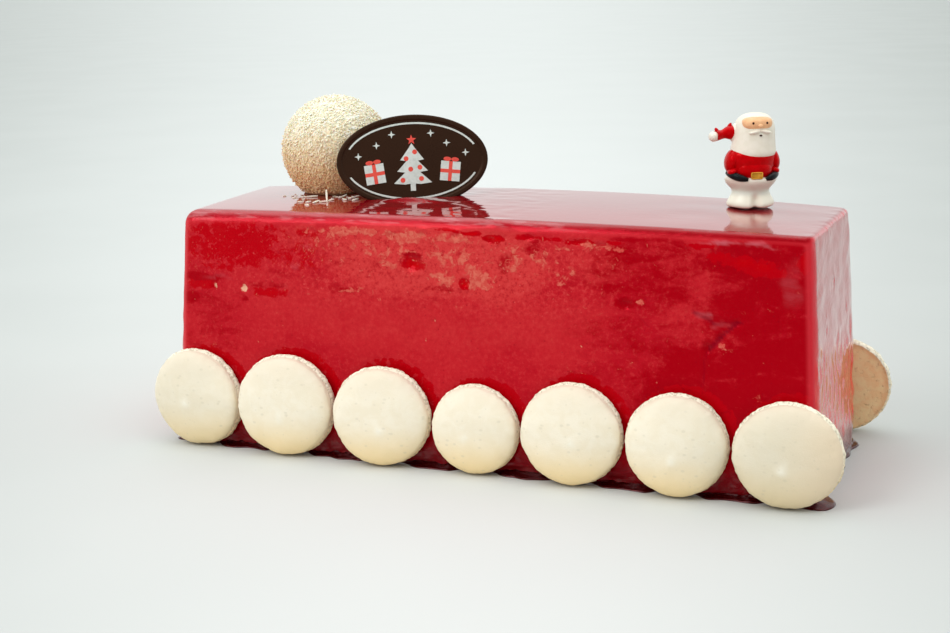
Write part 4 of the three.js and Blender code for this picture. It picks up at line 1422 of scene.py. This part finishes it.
def makeMouldedMaterial(name, light, dark, gloss, shadeLow=None):
    # painted and lacquered, a little uneven
    tint = colour(*[min(1, 1.6 * level) for level in light])
    material, tree, shader, place = newMaterial(
        name, Roughness=gloss, Specular_Tint=tint, Coat_Weight=0.06, Coat_Roughness=0.1)
    uneven = addRange(tree, addNoise(tree, place, 2.2, 3), 0.35, 0.65)
    shade = addMix(tree, uneven, colour(*light), colour(*dark))
    if shadeLow:  # paler boots, and on the hem a painted green tint that cancels the red light bounced up from the glaze
        height = addAxis(tree, place)
        shade = addMix(tree, addRange(tree, height, 97 * mm, 99 * mm, 1, 0), shade, colour(*shadeLow[0]))
        hemBounceCancel = addTimes(tree, addRange(tree, height, 97 * mm, 99.5 * mm),
                      addRange(tree, height, 101 * mm, 104 * mm, 0.8, 0))
        shade = addMix(tree, hemBounceCancel, shade, colour(*shadeLow[1]))
    tree.links.new(shade, shader.inputs["Base Color"])
    tree.links.new(addRange(tree, uneven, 0, 1, gloss, gloss + 0.08), shader.inputs["Roughness"])
    addBump(tree, shader, addNoise(tree, place, 1.4, 2), 0.04, 0.4)
    return material


topperLooks = {
    "topperWhite": ((0.88, 0.83, 0.71), (0.84, 0.79, 0.66), 0.3, ((0.97, 0.96, 0.80), (0.82, 0.96, 0.83))),
    "topperRed": ((0.54, 0.0005, 0.003), (0.48, 0.0005, 0.002), 0.14, None),
    "topperBlack": ((0.014, 0.018, 0.020), (0.008, 0.009, 0.010), 0.2, None),
    "topperGold": ((0.72, 0.38, 0.05), (0.55, 0.27, 0.03), 0.3, None),
    "topperSkin": ((0.92, 0.53, 0.29), (0.86, 0.46, 0.24), 0.35, None),
    "topperFace": ((0.06, 0.02, 0.015), (0.04, 0.014, 0.01), 0.3, None),
}
for name, piece in makeTopper().items():
    giveMaterials(piece, makeMouldedMaterial(name, *topperLooks[name]))
    standFor(piece, "topper", "topper")
print("topper made")


puddle = {
    "sides": 720, "inside": 1.2, "insideHeight": 1.75,
    # share of the reach and height, from the outer edge to the log
    "profile": ((1.0, 0.0), (1.0, 0.22), (0.86, 0.5), (0.62, 0.75), (0.35, 0.95), (0.12, 1.3), (-0.02, 1.7)),
    # reach before and behind the shells, and the drop run out at the right front corner
    "frontReach": 3.4, "otherReach": 1.0, "leastReach": 0.35,
    "drop": 5.2, "dropPlace": (127, -37), "dropSpread": 60,
}


def logFootAt(share):
    # a place on the log's base outline and its outward direction, share going once round from the front left
    halfX, halfY, radius = log["length"] / 2, log["width"] / 2, log["cornerRadius"]
    runs = []
    corners = [(-halfX + radius, -halfY + radius, 180), (halfX - radius, -halfY + radius, 270),
               (halfX - radius + log["backRight"], halfY - radius, 0),
               (-halfX + radius + log["backLeft"], halfY - radius, 90)]
    for i, (x, y, start) in enumerate(corners):
        nextX, nextY, _ = corners[(i + 1) % 4]
        end = math.radians(start + 90)
        runs.append(("arc", math.pi / 2 * radius, (x, y, start)))
        runs.append(("run", math.hypot(nextX - x, nextY - y), (x, y, nextX, nextY, end)))
    reach = share * sum(run[1] for run in runs)
    for kind, length, facts in runs:
        if reach <= length:
            break
        reach -= length
    if kind == "arc":
        x, y, start = facts
        angle = math.radians(start + 90 * reach / length)
        out = (math.cos(angle), math.sin(angle))
        return x + radius * out[0], y + radius * out[1], out
    x, y, nextX, nextY, angle = facts
    out = (math.cos(angle), math.sin(angle))
    t = reach / length
    return x + (nextX - x) * t + radius * out[0], y + (nextY - y) * t + radius * out[1], out


def makePuddle():
    profile = puddle["profile"]
    piece = turnedForm("glazeFoot", [(2 - 0.1 * i, h) for i, (_, h) in enumerate(profile)]
                       + [(1.0, puddle["insideHeight"])], puddle["sides"])
    places = readPlaces(piece)
    for i in range(puddle["sides"]):
        x, y, out = logFootAt(i / puddle["sides"])
        isLong = abs(out[1]) > 0.5
        around = Vector((x, y, 0))
        row = "front" if y < 0 else "back"
        nearest = min(abs(x - spot[0]) for spot in shells[row])
        isOpen = float(smoothStep(np.array(nearest), 5, 12)) if isLong else 1.0
        wander = noise.noise(around / 9) * 1.3 + noise.noise(around / 4.5) * 0.35
        usual = puddle["frontReach"] if y < 0 and isLong else puddle["otherReach"]
        reach = puddle["leastReach"] + isOpen * max(usual + 1.5 * wander, 0.4)
        dropX, dropY = puddle["dropPlace"]
        reach += puddle["drop"] * math.exp(-((x - dropX) ** 2 + (y - dropY) ** 2) / puddle["dropSpread"])
        crinkle = 0.5 if isLong else 0.15
        tall = (0.35 + 0.65 * isOpen) * (1 + crinkle * noise.noise(around / 2.6 + Vector((9, 0, 0))))
        rings = list(profile) + [(-puddle["inside"] / reach, puddle["insideHeight"])]
        for ring, (share, height) in enumerate(rings):
            away = share * reach
            places[ring * puddle["sides"] + i] = (x + out[0] * away, y + out[1] * away, height * tall)
    writePlaces(piece, places)
    finishMesh(piece, 80)
    return piece


glazeFoot = makePuddle()
# darkened to a fifth as painted shade, and less wet
giveMaterials(glazeFoot, makeGlaze("glazeFoot", 0.2, 0.45))
standFor(glazeFoot, "glaze", "cake_log")
print("glaze at the foot made")

bpy.context.view_layer.update()
